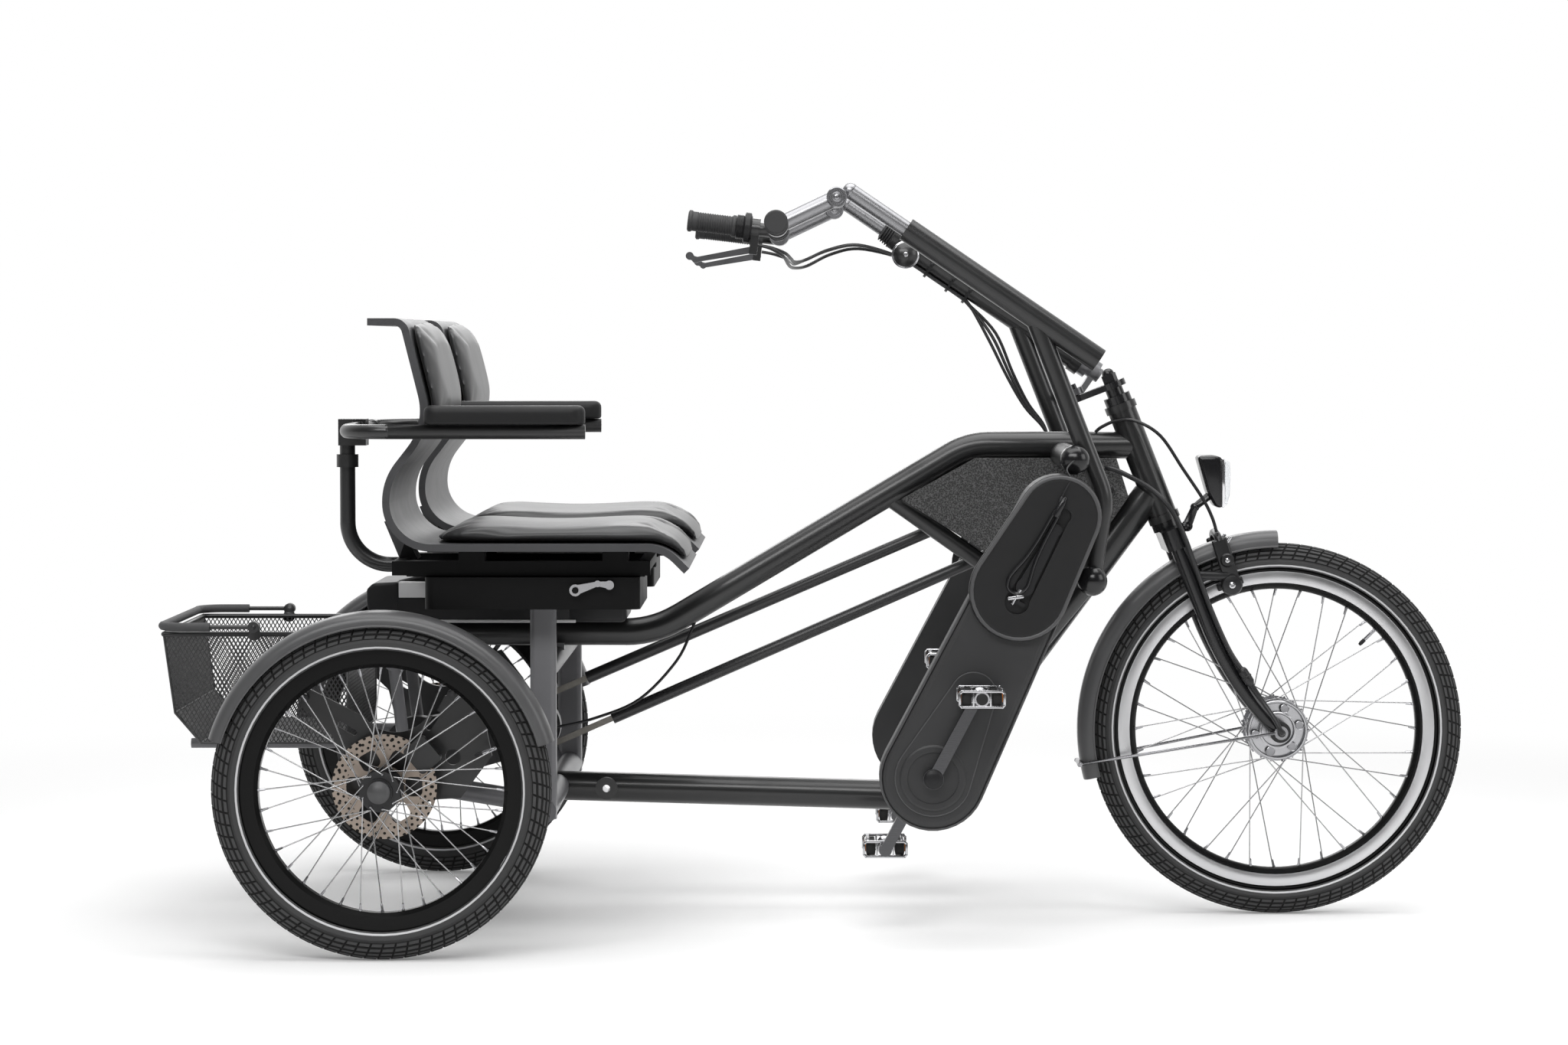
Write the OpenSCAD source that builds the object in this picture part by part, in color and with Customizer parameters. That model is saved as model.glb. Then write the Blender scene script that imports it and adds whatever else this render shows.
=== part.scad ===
// Two-seat side-by-side pedal tricycle: one steered front wheel, two rear wheels.
// Millimetres, +X forward, +Y to the left rider, +Z up, ground at Z = 0.

/* [Wheels] */
// Outer radius of the rear tyres
rear_wheel_r = 258; // [245:1:270]
// Section width of the rear tyres
rear_tyre_w = 55; // [45:1:60]
// Outer radius of the front tyre
front_wheel_r = 303.5; // [295:0.5:312]
// Section width of the front tyre
front_tyre_w = 50; // [42:1:54]
// Distance between the two rear wheel planes
track = 960; // [930:5:1000]
// Distance from the rear axle to the front axle
wheelbase = 1408; // [1395:1:1430]
// Radial height of a rim
rim_h = 27; // [22:1:30]
// Diameter of a spoke
spoke_d = 2; // [1.6:0.1:2.6]
// Spokes in one wheel
spoke_count = 36; // [28:4:36]
// Radius of the brake discs
rotor_r = 80; // [70:1:90]

/* [Frame] */
// Outer diameter of the bent main tube
main_tube_d = 44; // [38:1:48]
// Outer diameter of the lower tube
lower_tube_d = 48; // [42:1:52]
// Outer diameter of the down tube
down_tube_d = 50; // [44:1:54]
// Wall of the frame tubes
tube_wall = 2.5; // [1.5:0.1:4]
// Centre height of the main tube behind the bend
main_rear_z = 461; // [450:1:470]
// Centre height of the main tube at the head tube
main_front_z = 766; // [755:1:775]
// Diameter of the cross tubes that carry the rider frames
cross_tube_d = 40; // [34:1:44]
// Diameter of the bores in the tow bush
tow_bore_d = 12; // [8:0.5:16]

/* [Steering] */
// Angle of the head tube from the ground
head_angle = 68.5; // [66:0.5:72]
// Length of the head tube
head_len = 205; // [190:1:215]
// Diameter of the fork steerer
steerer_d = 28.6; // [25.4:0.1:30]
// Steering arm length on fork and column
arm_len = 60; // [50:1:70]
// Angle of the handlebar columns from the ground
column_angle = 34.2; // [32:0.1:36]
// Length of the handlebar columns
column_len = 363; // [340:1:380]
// Diameter of the handlebar columns
column_d = 38; // [34:1:42]
// Diameter of the handlebar tubes
bar_d = 22.2; // [20:0.1:25.4]

/* [Riders] */
// Distance between the two seats
rider_pitch = 540; // [520:2:560]
// Width of a seat shell
seat_w = 390; // [350:2:394]
// Thickness of a seat shell
shell_t = 11; // [8:0.5:14]
// Thickness of a seat pad
pad_t = 26; // [18:1:34]
// Thickness of a back pad
back_t = 22; // [14:1:30]
// Height of the seat runner tops
runner_z = 584; // [580:1:588]
// Length of a crank arm
crank_len = 150; // [130:1:170]
// Distance of a crank arm from its rider's mid-plane
crank_reach = 82; // [76:1:90]
// Height of the crank axle
crank_z = 260; // [250:1:275]

/* [Drive] */
// Pitch radius of the crank chainrings
ring_r = 70; // [60:1:72]
// Pitch radius of the sprockets on the cross shaft
sprocket_r = 36.6; // [30:0.2:40]
// Pitch radius of the gear hub sprocket
hub_sprocket_r = 39; // [34:0.5:44]
// Outer diameter of the chain tubes
chain_tube_d = 20; // [18:0.5:24]
// Width of a chain case
case_w = 50; // [44:1:54]

/* [Basket] */
// Length of the basket at the rim
basket_l = 290; // [250:2:310]
// Width of the basket
basket_w = 400; // [340:2:440]
// Depth of the basket
basket_h = 173; // [140:1:185]
// Diameter of the bail's foam grip
bail_grip_d = 13; // [11:0.5:18]

/* [Clearances] */
// Radial clearance of running fits
run_gap = 0.05; // [0.02:0.01:0.1]
// Gap between seated pieces
seat_gap = 0.3; // [0.2:0.05:0.5]

/* [Hidden] */
$fn = 48;

// Places are measured from the rear axle, then moved so that the origin is under the middle
basket_rear_x = -375;
bail_reach = 5.5 + bail_grip_d / 2;
rear_reach = bail_reach - basket_rear_x;
front_reach = wheelbase + front_wheel_r;
origin_x = (rear_reach - front_reach) / 2;
wheel_y = track / 2;
rider_y = rider_pitch / 2;

// Rims: the bead seat lies one tyre section inside the tread
rear_seat_r = rear_wheel_r - rear_tyre_w;
front_seat_r = front_wheel_r - front_tyre_w;
flange_h = 10;
rear_flange_r = rear_seat_r + flange_h;
front_flange_r = front_seat_r + flange_h;
rear_rim_in = rear_flange_r - rim_h;
front_rim_in = front_flange_r - rim_h;
rim_half_w = 14.5;
tyre_wall = 4;

// Hubs
hub_flange_r = 31;
hub_flange_z = 28;
flange_t = 2.4;
spoke_hole_in = 4.5;
spoke_gap = 0.1;
rotor_t = 2;
rotor_z = -40;
stub_r = 8.5;
stub_len = 150;
hub_cap_z = 50;
motor_r = 51;
motor_half_w = 34;
motor_flange_z = 24;
front_axle_r = 6;

// Main frame: corners of the bent main tube and the places of the other tubes
main_r = main_tube_d / 2;
lower_r = lower_tube_d / 2;
down_r = down_tube_d / 2;
cross_r = cross_tube_d / 2;
strut_r = 14;
main_rear_x = -60;
bend_low_x = 394;
bend_high_x = wheelbase - 502;
bend_low_r = 170;
bend_high_r = 120;
climb = atan2(main_front_z - main_rear_z, bend_high_x - bend_low_x);
climb_len = norm([bend_high_x - bend_low_x, main_front_z - main_rear_z]);
low_tangent = bend_low_r * tan(climb / 2);
high_tangent = bend_high_r * tan(climb / 2);
beam_x = 235;
beam_z = 209;
lower_front_x = wheelbase - 570;
lower_front_z = 192;
tow_x = 316;
tow_r = 18;
tow_half_l = 28;
upper_cross = [wheelbase - 350, 751];
lower_cross = [wheelbase - 322, 563];
cross_half_l = 300;
cap_h = 9;
strut_x = wheelbase - 638;
strut_top = [strut_x, main_rear_z + (strut_x - bend_low_x) * tan(climb)];
strut_low = [wheelbase - 368, 496];

// Head tube and fork frame: local Z runs up the steering axis
head_low = [wheelbase - 181.3, 643];
head_r = 23;
cup_r = 26;
cup_h = 12;
steerer_r = steerer_d / 2;
fork_arm_z = head_len + 27;
arm_t = 10;
stud_r = 5;
stud_h = 20;
fork_leg_y = 60;
fork_leg_r = 13;
crown_z = -33;

// Handlebar columns: local Z runs up and back along the column
column_low = [wheelbase - 311, 905];
column_r = column_d / 2;
quill_r = 12.5;
lower_bush_h = 14;
column_arm_z = -40;
open_eye_gap = 3;
leg_r = 15;
leg_top = [wheelbase - 412, 973];
leg_knee = [wheelbase - 301, 690];
leg_bend_r = 90;

// Cranks and drive
crank_x = wheelbase - 570;
shaft_c = [wheelbase - 376, 665];
shaft_r = 10;
crank_axle_r = 8.5;
crank_arm_t = 14;
crank_hub_r = 16;
crank_arm_r = 11;
pedal_eye_r = 10;
pedal_axle_r = 6;
pedal_l = 92;
pedal_w = 72;
pedal_h = 28;
pedal_gap = 1;
shell_r = 21;
shell_in = 34;
case_in = 20;
case_wall = 3;
case_low_r = 83;
case_high_r = 65;
cover_t = 14;
cover_low = [wheelbase - 438, 550];
cover_low_r = 78;
chain_t = 6;
chain_w = 8;
chain_y = 40;
hub_c = [190, 300];
drop_r = 16;
drop_y = rider_y - 12;
right_crank_turn = 62;
left_crank_turn = 75;

// Rear frame
post_y = 330;
post_l = 40;
post_w = 30;
base_bottom_z = 526;
base_h = 49;
base_x = [59, 388];
base_w = 280;
runner_y = 110;
runner_w = 20;
housing_r = 23;
housing_inset = 84;
housing_half_l = wheel_y - housing_inset;
plate_y = 386;
plate_t = 8;
carrier_r = 8;
carrier_y = 120;

// Seats: runs of the shell's middle line as straights [length, 0] and bends [radius, turn]
seat_start = [461, 588];
seat_heading = 135;
seat_runs = [
  [24, 0], [61, -45], [326, 0], [68, 90], [2, 0], [90, 38], [30, 0], [95, -52], [100, 0], [18, -76], [40, 0]
];
pan_from = 4;
pan_len = 401;
back_from = 625;
back_len = 168;
pad_inset = 12;
pad_gap = 0.3;

// Armrests and post
post_r = 12;
arm_pivot = [-55, 799];
arm_half = 226;
arm_r = 11;
arm_pad_w = 46;

// Basket and bail
basket_top_z = 472;
basket_wall = 3;
bail_pivot = [-231, 484];
bail_wire_r = 3.5;
bail_pin_r = 4;

// Details
run_lap = 0.5;
bend_swell = 1.002;
tube_swell = 1.008;
wire_swell = 1.02;
elbow_swell = 1.03;
tow_z = beam_z - (beam_z - lower_front_z) * (tow_x - beam_x) / (lower_front_x - beam_x);
beam_r = 20;
gusset_t = 3;
gusset_boss_l = 9;
bell_r = 21;
post_low_z = 196;
stay_r = 16;
upper_beam_r = 16;
upper_beam_z = main_rear_z - main_r - upper_beam_r - 2;
carrier_z = basket_top_z - basket_h - carrier_r - seat_gap;
caliper_turn = 40;
hub_axle_r = 6;
gear_hub_y0 = -22;
runner_x = [30, 395];
lever_c = [290, 556];
lever_pin_r = 5;
battery_mid_x = 135;
battery_l = 420;
battery_w = 190;
battery_h = 60;
tube_start = 122;
case_edge = 14;
case_lip = 4;
ring_y = rider_y + case_in + case_w / 2;
fork_straight = 140;
stay_wire_r = 2.5;
lamp_c = [wheelbase - 105, 707];
brake_turn = 108;
stem_rise = 105;
bar_half = 200;
grip_r = 16;
bar_bend_r = 30;
bar_tilt = 7;
bar_span = 235;
grip_run = 116;
lever_drop = 34;
lever_z = 7;
lever_pin = 3;
lever_reach = 92;
cable_d = 5.5;
cable_step = 16;
cable_seats = [
  [column_len - 18, 3], [column_len - 48, 0], [column_len - 93, 0], [column_len - 138, 0],
  [column_len - 163, 3]
];
cable_pitch = 8;

// Routes from the middle of the driver's bar
cable_starts = [
  [
    [-32.73, -225.5, -22.05], [-11.93, -224, -26.05], [10.07, -204, -34.05], [20.07, -160, -42.05],
    [26.07, -90, -46.05], [44.07, -40, -42.05], [84.07, -18, -24.05], [134.07, -13, -16.05]
  ],
  [
    [-32.73, -244.5, -22.05], [-11.93, -246, -28.05], [8.07, -222, -40.05], [16.07, -160, -52.05],
    [24.07, -84, -56.05], [46.07, -30, -52.05], [86.07, -6, -32.05], [134.07, -1, -22.05]
  ],
  [
    [-32.73, 225.5, -22.05], [-11.93, 224, -26.05], [10.07, 204, -34.05], [20.07, 160, -42.05],
    [26.07, 90, -46.05], [44.07, 44, -40.05], [84.07, 20, -24.05], [134.07, 13, -16.05]
  ]
];

// Routes from the front axle, heights from the ground
cable_end = [
  [-451, -11, 943], [-421, -18, 878], [-394, -22, 828], [-367, -24, 795], [-357, -25, 774]
];
hose_route = [
  [-296, -10, 787.6], [-286, -14, 796], [-263, -22, 806], [-233, -34, 806], [-193, -38, 782],
  [-156, -38, 728], [-124, -40, 680], [-109, -41.5, 650], [-101.8, -41.5, 626.6]
];
lead_route = [
  [-278, -29.35, 730], [-278, -42, 730], [-259, -52, 724], [-212, -60, 698], [-180, -74, 666],
  [-158, -80, 622], [-140, -74, 574], [-114, -73, 504], [-85, -73, 439], [-62, -77, 403]
];
lead_tail = [
  [-51, -77, 386], [-32, -83, 357], [-13, -95, 328], [-2, -101, 307], [0, -91, 303.5]
];
lead_d = 8;
rail_x = [8, 403];
rail_h = 22;
pan_z = 619;
pad_round = 0.55;
post_x = -74;
post_bend_r = 66;
arm_pin_y = 44;
arm_pin_r = 5;
arm_bend_r = 70;
arm_pad_x = [68, 310];
rim_wire_r = 4;
bail_y = 213;
bail_eye_half = 4.5;
bail_bend_r = 40;
cell = 26;
cell_pitch = 36;
cell_edge = 14;
cell_count = 5;
function fork_pt(x, z) =
  head_low + z * [-cos(head_angle), sin(head_angle)] + x * [sin(head_angle), cos(head_angle)];
function column_pt(x, z) =
  column_low + z * [-cos(column_angle), sin(column_angle)] + x * [sin(column_angle), cos(column_angle)];

// A round bar between two points
module rod(p, q, r) {
  d = q - p;
  translate(p) rotate([0, acos(d[2] / norm(d)), atan2(d[1], d[0])]) cylinder(h = norm(d), r = r);
}

// A ball where two bars meet, a hair thicker than they are
module elbow(p, r) {
  translate(p) sphere(r * elbow_swell);
}

// A round bar along Y between two Y places
module y_bar(c, y0, y1, r) {
  translate([c[0], y1, c[1]]) rotate([90, 0, 0]) cylinder(h = y1 - y0, r = r);
}

// An outline drawn in X and Z, made thick along Y
module y_slab(y0, y1) {
  translate([0, y1, 0]) rotate([90, 0, 0]) linear_extrude(y1 - y0) children();
}

// Turns a shape made round Z so that it is round Y, its top pointing to -Y
module y_spin(c, y) {
  translate([c[0], y, c[1]]) rotate([90, 0, 0]) children();
}

// Starts a run in an XZ plane with a heading counted from +X towards +Z
module start_at(c, y, heading) {
  translate([c[0], y, c[1]]) rotate([0, 90 - heading, 0]) children();
}

// Sweeps an outline along straights [length, 0] and bends [radius, turn, roll],
// the straights lapped a little into bends that are a hair thicker
module run(steps, swell = bend_swell, i = 0) {
  if (i < len(steps)) {
    s = steps[i];
    roll = len(s) > 2 ? s[2] : 0;
    flip = s[1] < 0 ? 180 : 0;
    turn = abs(s[1]);
    if (turn == 0) {
      low = i > 0 ? run_lap : 0;
      high = i < len(steps) - 1 ? run_lap : 0;
      translate([0, 0, -low]) linear_extrude(s[0] + low + high) children();
      translate([0, 0, s[0]]) run(steps, swell, i + 1) children();
    } else {
      rotate([0, 0, roll + flip]) {
        translate([s[0], 0, 0]) rotate([-90, 0, 0]) rotate([0, 0, 180])
          rotate_extrude(angle = turn) translate([s[0], 0]) scale(swell) children();
        translate([s[0] * (1 - cos(turn)), 0, s[0] * sin(turn)]) rotate([0, turn, 0])
          rotate([0, 0, -flip]) run(steps, swell, i + 1) children();
      }
    }
  }
}

// A rectangle with round corners
module round_rect(size, r) {
  square([size[0] - 2 * r, size[1]], center = true);
  square([size[0], size[1] - 2 * r], center = true);
  for (sx = [-1, 1], sy = [-1, 1])
    translate([sx * (size[0] / 2 - r), sy * (size[1] / 2 - r)]) circle(r);
}

// A flat arm between two eyes, its web a little narrower than the eyes
module link_outline(p, q, rp, rq) {
  web = 1.5;
  a = atan2(q[1] - p[1], q[0] - p[0]);
  n = [-sin(a), cos(a)];
  translate(p) circle(rp);
  translate(q) circle(rq);
  polygon([p - n * (rp - web), q - n * (rq - web), q + n * (rq - web), p + n * (rp - web)]);
}

module both_sides() {
  children();
  mirror([0, 1, 0]) children();
}

module left_side() {
  mirror([0, 1, 0]) children();
}

module fork_frame() {
  translate([head_low[0], 0, head_low[1]]) rotate([0, head_angle - 90, 0]) children();
}

module column_frame(y) {
  translate([column_low[0], y, column_low[1]]) rotate([0, column_angle - 90, 0]) children();
}

module place() {
  translate([origin_x, 0, 0]) children();
}

// Points on a run: position, heading and the turn still to make
function step_len(s) = s[1] == 0 ? s[0] : s[0] * abs(s[1]) * PI / 180;
function step_end(p, h, s, part) =
  s[1] == 0 ? p + s[0] * part * [cos(h), sin(h)]
            : let (k = s[1] > 0 ? s[0] : -s[0], h1 = h - s[1] * part)
              p + k * [sin(h) - sin(h1), cos(h1) - cos(h)];
function run_at(steps, d, p, h, i = 0) =
  let (s = steps[i], l = step_len(s))
  d <= l || i == len(steps) - 1 ? [step_end(p, h, s, d / l), h - s[1] * d / l]
                                : run_at(steps, d - l, step_end(p, h, s, 1), h - s[1], i + 1);
function seat_at(d, up) =
  let (q = run_at(seat_runs, d, seat_start, seat_heading), n = [sin(q[1]), -cos(q[1])]) q[0] + up * n;

// Frame

module main_tube(r) {
  steps = [
    [bend_low_x - main_rear_x - low_tangent, 0],
    [bend_low_r, -climb],
    [climb_len - low_tangent - high_tangent, 0],
    [bend_high_r, climb],
    [head_low[0] - bend_high_x - high_tangent - 55, 0]
  ];
  start_at([main_rear_x, main_rear_z], 0, 0) run(steps, tube_swell) circle(r);
}

module cross_tube(c) {
  y_bar(c, -cross_half_l, cross_half_l, cross_r);
  both_sides() y_spin(c, -cross_half_l) rotate_extrude() intersection() {
    translate([0, cap_h - cross_r]) circle(cross_r + 1);
    square([cross_r, cap_h]);
  }
}

module main_frame() {
  lower_rear = [beam_x, 0, beam_z];
  lower_front = [lower_front_x, 0, lower_front_z];
  down_top = [head_low[0] - 28, 0, head_low[1] + 42];
  down_low = [lower_front_x + 5, 0, lower_front_z + 10];
  color("#1b1b1d") place() difference() {
    union() {
      main_tube(main_r);
      rod(lower_rear, lower_front, lower_r);
      rod(down_low, down_top, down_r);
      rod([strut_top[0], 0, strut_top[1]], [strut_low[0], 0, strut_low[1]], strut_r);
      cross_tube(upper_cross);
      cross_tube(lower_cross);
      fork_frame() cylinder(h = head_len, r = head_r);
      fork_frame() cylinder(h = cup_h, r = cup_r);
      fork_frame() translate([0, 0, head_len - cup_h]) cylinder(h = cup_h, r = cup_r);
      y_bar([tow_x, tow_z], -tow_half_l, tow_half_l, tow_r);
    }
    fork_frame() translate([0, 0, -1]) cylinder(h = head_len + 2, r = steerer_r + run_gap);
    fork_frame() translate([0, 0, cup_h]) cylinder(h = head_len - 2 * cup_h, r = steerer_r + 4);
    y_bar([tow_x, tow_z], -tow_half_l - 1, tow_half_l + 1, tow_bore_d / 2);
    y_bar([beam_x, beam_z], -post_y, post_y, beam_r + seat_gap);
    start_at([main_rear_x - 1, main_rear_z], 0, 0) cylinder(h = 120, r = main_r - tube_wall);
  }
}

module gusset_plates() {
  plate_in = max(main_r, down_r) + seat_gap;
  color("#2a2a2c") place() both_sides() difference() {
    union() {
      y_slab(-plate_in - gusset_t, -plate_in) polygon([
        strut_low + [12, 22], head_low + [-62, 40], [head_low[0] - 82, main_front_z - 20],
        [bend_high_x + 10, main_front_z - 20], strut_top + [26, -6]
      ]);
      y_bar(shaft_c, -plate_in - gusset_boss_l, -plate_in, shaft_r + 10);
    }
    y_bar(shaft_c, -100, 0, shaft_r + run_gap);
    y_bar(upper_cross, -100, 0, cross_r + seat_gap);
    y_bar(lower_cross, -100, 0, cross_r + seat_gap);
    for (p = [[head_low[0] - 110, 722], [head_low[0] - 92, 690], [strut_low[0] - 70, 596]])
      y_bar(p, -100, 0, 4);
  }
}

module rider_frame(driver) {
  shell_y0 = -rider_y - case_in + seat_gap;
  shell_y1 = -rider_y + shell_in;
  difference() {
    union() {
      column_frame(-rider_y) cylinder(h = column_len, r = column_r);
      bent_leg();
      rod([lower_cross[0], -drop_y, lower_cross[1]], [crank_x, -drop_y, crank_z], drop_r);
      y_bar([crank_x, crank_z], shell_y0, shell_y1, shell_r);
      if (driver) driver_cups();
    }
    column_frame(-rider_y) translate([0, 0, -lower_bush_h - 1])
      cylinder(h = column_len + lower_bush_h + 30, r = driver ? quill_r + run_gap : quill_r + 0.1);
    y_bar([crank_x, crank_z], shell_y0 - 1, shell_y1 + 1, crank_axle_r + run_gap);
    y_bar(upper_cross, -cross_half_l - 20, 0, cross_r + seat_gap);
    y_bar(lower_cross, -cross_half_l - 20, 0, cross_r + seat_gap);
    y_bar(shaft_c, -cross_half_l - 20, 0, shaft_r + 2);
  }
}

// The leg from a column down to the lower cross tube, bent at its knee
module bent_leg() {
  upper = leg_knee - leg_top;
  lower = lower_cross - leg_knee;
  heading = atan2(upper[1], upper[0]);
  turn = heading - atan2(lower[1], lower[0]);
  cut = leg_bend_r * tan(turn / 2);
  start_at(leg_top, -rider_y, heading)
    run([[norm(upper) - cut, 0], [leg_bend_r, turn], [norm(lower) - cut, 0]], tube_swell) circle(leg_r);
}

module driver_cups() {
  column_frame(-rider_y) {
    translate([0, 0, -lower_bush_h]) cylinder(h = lower_bush_h + 4, r = column_r + 3);
    translate([0, 0, column_len - 4]) cylinder(h = 12, r = column_r + 3);
    translate([0, 0, column_len + 8]) cylinder(h = 8, r = column_r - 2);
  }
}

module right_rider_frame() {
  color("#1b1b1d") place() rider_frame(false);
}

module left_rider_frame() {
  color("#1b1b1d") place() left_side() rider_frame(true);
  color("#333335") place() left_side() column_frame(-rider_y) translate([-16, 0, column_len - 26])
    rotate([-90, 0, 0]) translate([0, 0, column_r + seat_gap]) {
      cylinder(h = 8, r = 12);
      translate([0, 0, 8]) rotate_extrude() intersection() {
        translate([0, -16]) circle(30);
        square([bell_r, 20]);
      }
    }
}

module rear_frame() {
  color("#56575a") place() {
    y_bar([beam_x, beam_z], -post_y - post_w / 2, post_y + post_w / 2, beam_r);
    both_sides() difference() {
      union() {
        translate([beam_x, -post_y, post_low_z]) linear_extrude(base_bottom_z - seat_gap - post_low_z)
          round_rect([post_l, post_w], 8);
        rod([beam_x, -post_y, beam_z + 10], [0, -post_y, rear_wheel_r], stay_r);
        y_bar([0, rear_wheel_r], -post_y - 22, -post_y + 22, housing_r + 7);
      }
      y_bar([0, rear_wheel_r], -post_y - 30, -post_y + 30, housing_r + seat_gap);
    }
    y_bar([beam_x, upper_beam_z], -post_y, post_y, upper_beam_r);
    both_sides() difference() {
      union() {
        rod([-4, -carrier_y, carrier_z], [basket_rear_x + 30, -carrier_y, carrier_z], carrier_r);
        y_bar([0, rear_wheel_r], -carrier_y - 14, -carrier_y + 14, housing_r + 7);
        rod([0, -carrier_y, rear_wheel_r], [-20, -carrier_y, main_rear_z - 40], 10);
      }
      y_bar([0, rear_wheel_r], -carrier_y - 20, -carrier_y + 20, housing_r + seat_gap);
    }
    y_bar([-20, main_rear_z - 40], -carrier_y - 10, carrier_y + 10, 14);
    translate([-20, 0, main_rear_z - 40]) saddle(main_r, 40 - main_r);
    translate([beam_x, 0, upper_beam_z]) saddle(main_r, main_rear_z - upper_beam_z - main_r);
  }
}

// A block between a beam and the main tube above it
module saddle(r, h) {
  difference() {
    translate([-12, -14, 0]) cube([24, 28, h + 8]);
    translate([-30, 0, h + r]) rotate([0, 90, 0]) cylinder(h = 60, r = r + seat_gap);
  }
}

module axle_plates() {
  c = [0, rear_wheel_r];
  color("#202022") place() both_sides() {
    difference() {
      y_slab(-plate_y - plate_t, -plate_y) difference() {
        polygon([
          c + [-60, -33], c + [112, -23], c + [160, 42], c + [150, 92], c + [112, 142], c + [88, 134],
          c + [72, 104], c + [-40, 104], c + [-118, 144], c + [-136, 122], c + [-84, 72]
        ]);
        translate(c + [12, 140]) circle(62);
        translate(c + [100, 40]) circle(12);
        translate(c + [70, 96]) rotate(58) round_rect([34, 9], 4.4);
        translate(c + [-62, 84]) rotate(-30) round_rect([34, 9], 4.4);
      }
      y_bar(c, -plate_y - plate_t - 1, -plate_y + 1, housing_r + seat_gap);
    }
    caliper();
  }
}

// Brake caliper on two posts, its slot open to the disc
module caliper() {
  c = [0, rear_wheel_r];
  p = c + 72 * [cos(caliper_turn), sin(caliper_turn)];
  y_disc = -wheel_y - rotor_z;
  difference() {
    translate([p[0], 0, p[1]]) rotate([0, 90 - caliper_turn, 0]) translate([0, y_disc + 3, 4])
      rotate([90, 0, 0]) translate([0, 0, -10]) linear_extrude(22) round_rect([48, 40], 7);
    y_bar(c, y_disc - 3, y_disc + 3, rotor_r + 3);
  }
  for (s = [-1, 1])
    y_bar(p + 12 * s * [sin(caliper_turn), -cos(caliper_turn)], y_disc + 12, -plate_y - plate_t, 6);
}

module axle_housing() {
  c = [0, rear_wheel_r];
  color("#1d1d1f") place() difference() {
    union() {
      y_bar(c, -housing_half_l, housing_half_l, housing_r);
      y_bar(c, chain_y + 16, chain_y + 46, 58);
      y_bar(hub_c, chain_y + 16, chain_y + 46, 46);
      y_slab(chain_y + 16, chain_y + 46) link_outline(c, hub_c, 55, 44);
      y_bar(hub_c, gear_hub_y0 - 6, chain_y + 20, hub_axle_r);
    }
    both_sides() y_bar(c, -housing_half_l - 1, -wheel_y + stub_len + 1, stub_r + run_gap);
  }
}

module rear_fenders() {
  half_w = rear_tyre_w / 2 + 5.5;
  r = rear_wheel_r + 14;
  color("#59595c") place() both_sides() {
    y_spin([0, rear_wheel_r], -wheel_y) rotate([0, 0, 16]) rotate_extrude(angle = 147)
      fender_outline(r, half_w, 22);
    for (t = [[-126, 132], [98, 138]]) {
      k = (r - 10) / norm(t);
      foot_y = -plate_y - plate_t - seat_gap;
      y_bar([t[0], rear_wheel_r + t[1]], foot_y - 9, foot_y, 6);
      rod([t[0], foot_y - 5, rear_wheel_r + t[1]],
          [t[0] * k, -wheel_y + half_w - 1, rear_wheel_r + t[1] * k], 4);
    }
  }
}

// Section of a fender: a flat crown with two skirts
module fender_outline(r, half_w, skirt) {
  t = 2.5;
  translate([r - t, -half_w + t]) square([t, 2 * half_w - 2 * t]);
  for (s = [-1, 1]) {
    translate([r - skirt, s > 0 ? half_w - t : -half_w]) square([skirt - t, t]);
    translate([r - t, s * (half_w - t)]) intersection() {
      circle(t);
      translate([0, s > 0 ? 0 : -t]) square([t, t]);
    }
  }
}

module seat_bases() {
  color("#151517") place() both_sides() {
    difference() {
      translate([(base_x[0] + base_x[1]) / 2, -rider_y, base_bottom_z]) linear_extrude(base_h)
        round_rect([base_x[1] - base_x[0], base_w], 14);
      translate([(base_x[0] + base_x[1]) / 2, -rider_y, base_bottom_z - 1]) linear_extrude(base_h - 20)
        round_rect([base_x[1] - base_x[0] - 8, base_w - 8], 10);
    }
    translate([beam_x, -post_y, base_bottom_z]) linear_extrude(base_h - 15) round_rect([post_l, post_w], 8);
    for (s = [-1, 1])
      translate([runner_x[0], -rider_y + s * runner_y - runner_w / 2, base_bottom_z + base_h])
        cube([runner_x[1] - runner_x[0], runner_w, runner_z - base_bottom_z - base_h]);
    y_bar(lever_c, -rider_y - base_w / 2 - 14, -rider_y - base_w / 2 + 8, lever_pin_r);
  }
}

module battery() {
  z0 = main_rear_z + main_r + seat_gap;
  color("#17171a") place() difference() {
    union() {
      translate([battery_mid_x, 0, z0]) linear_extrude(battery_h) round_rect([battery_l, battery_w], 18);
      translate([battery_mid_x - 190, 0, z0 + battery_h - 6]) linear_extrude(14)
        round_rect([70, battery_w - 30], 10);
    }
    translate([battery_mid_x - battery_l / 2 - 1, -40, z0 + 22]) cube([9, 80, 22]);
  }
}

// Drive

// A round-edged disc, the end form of a chain case
module puck(r, h, edge) {
  $fn = 40;
  rotate_extrude() {
    square([r, h - edge]);
    square([r - edge, h]);
    translate([r - edge, h - edge]) intersection() {
      circle(edge, $fn = 20);
      square(edge);
    }
  }
}

// The tapered round-ended form between two centres, its open face on the inner side
module case_form(c0, r0, c1, r1, y, h, edge) {
  hull() {
    y_spin(c0, y) puck(r0, h, edge);
    y_spin(c1, y) puck(r1, h, edge);
  }
}

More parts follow.
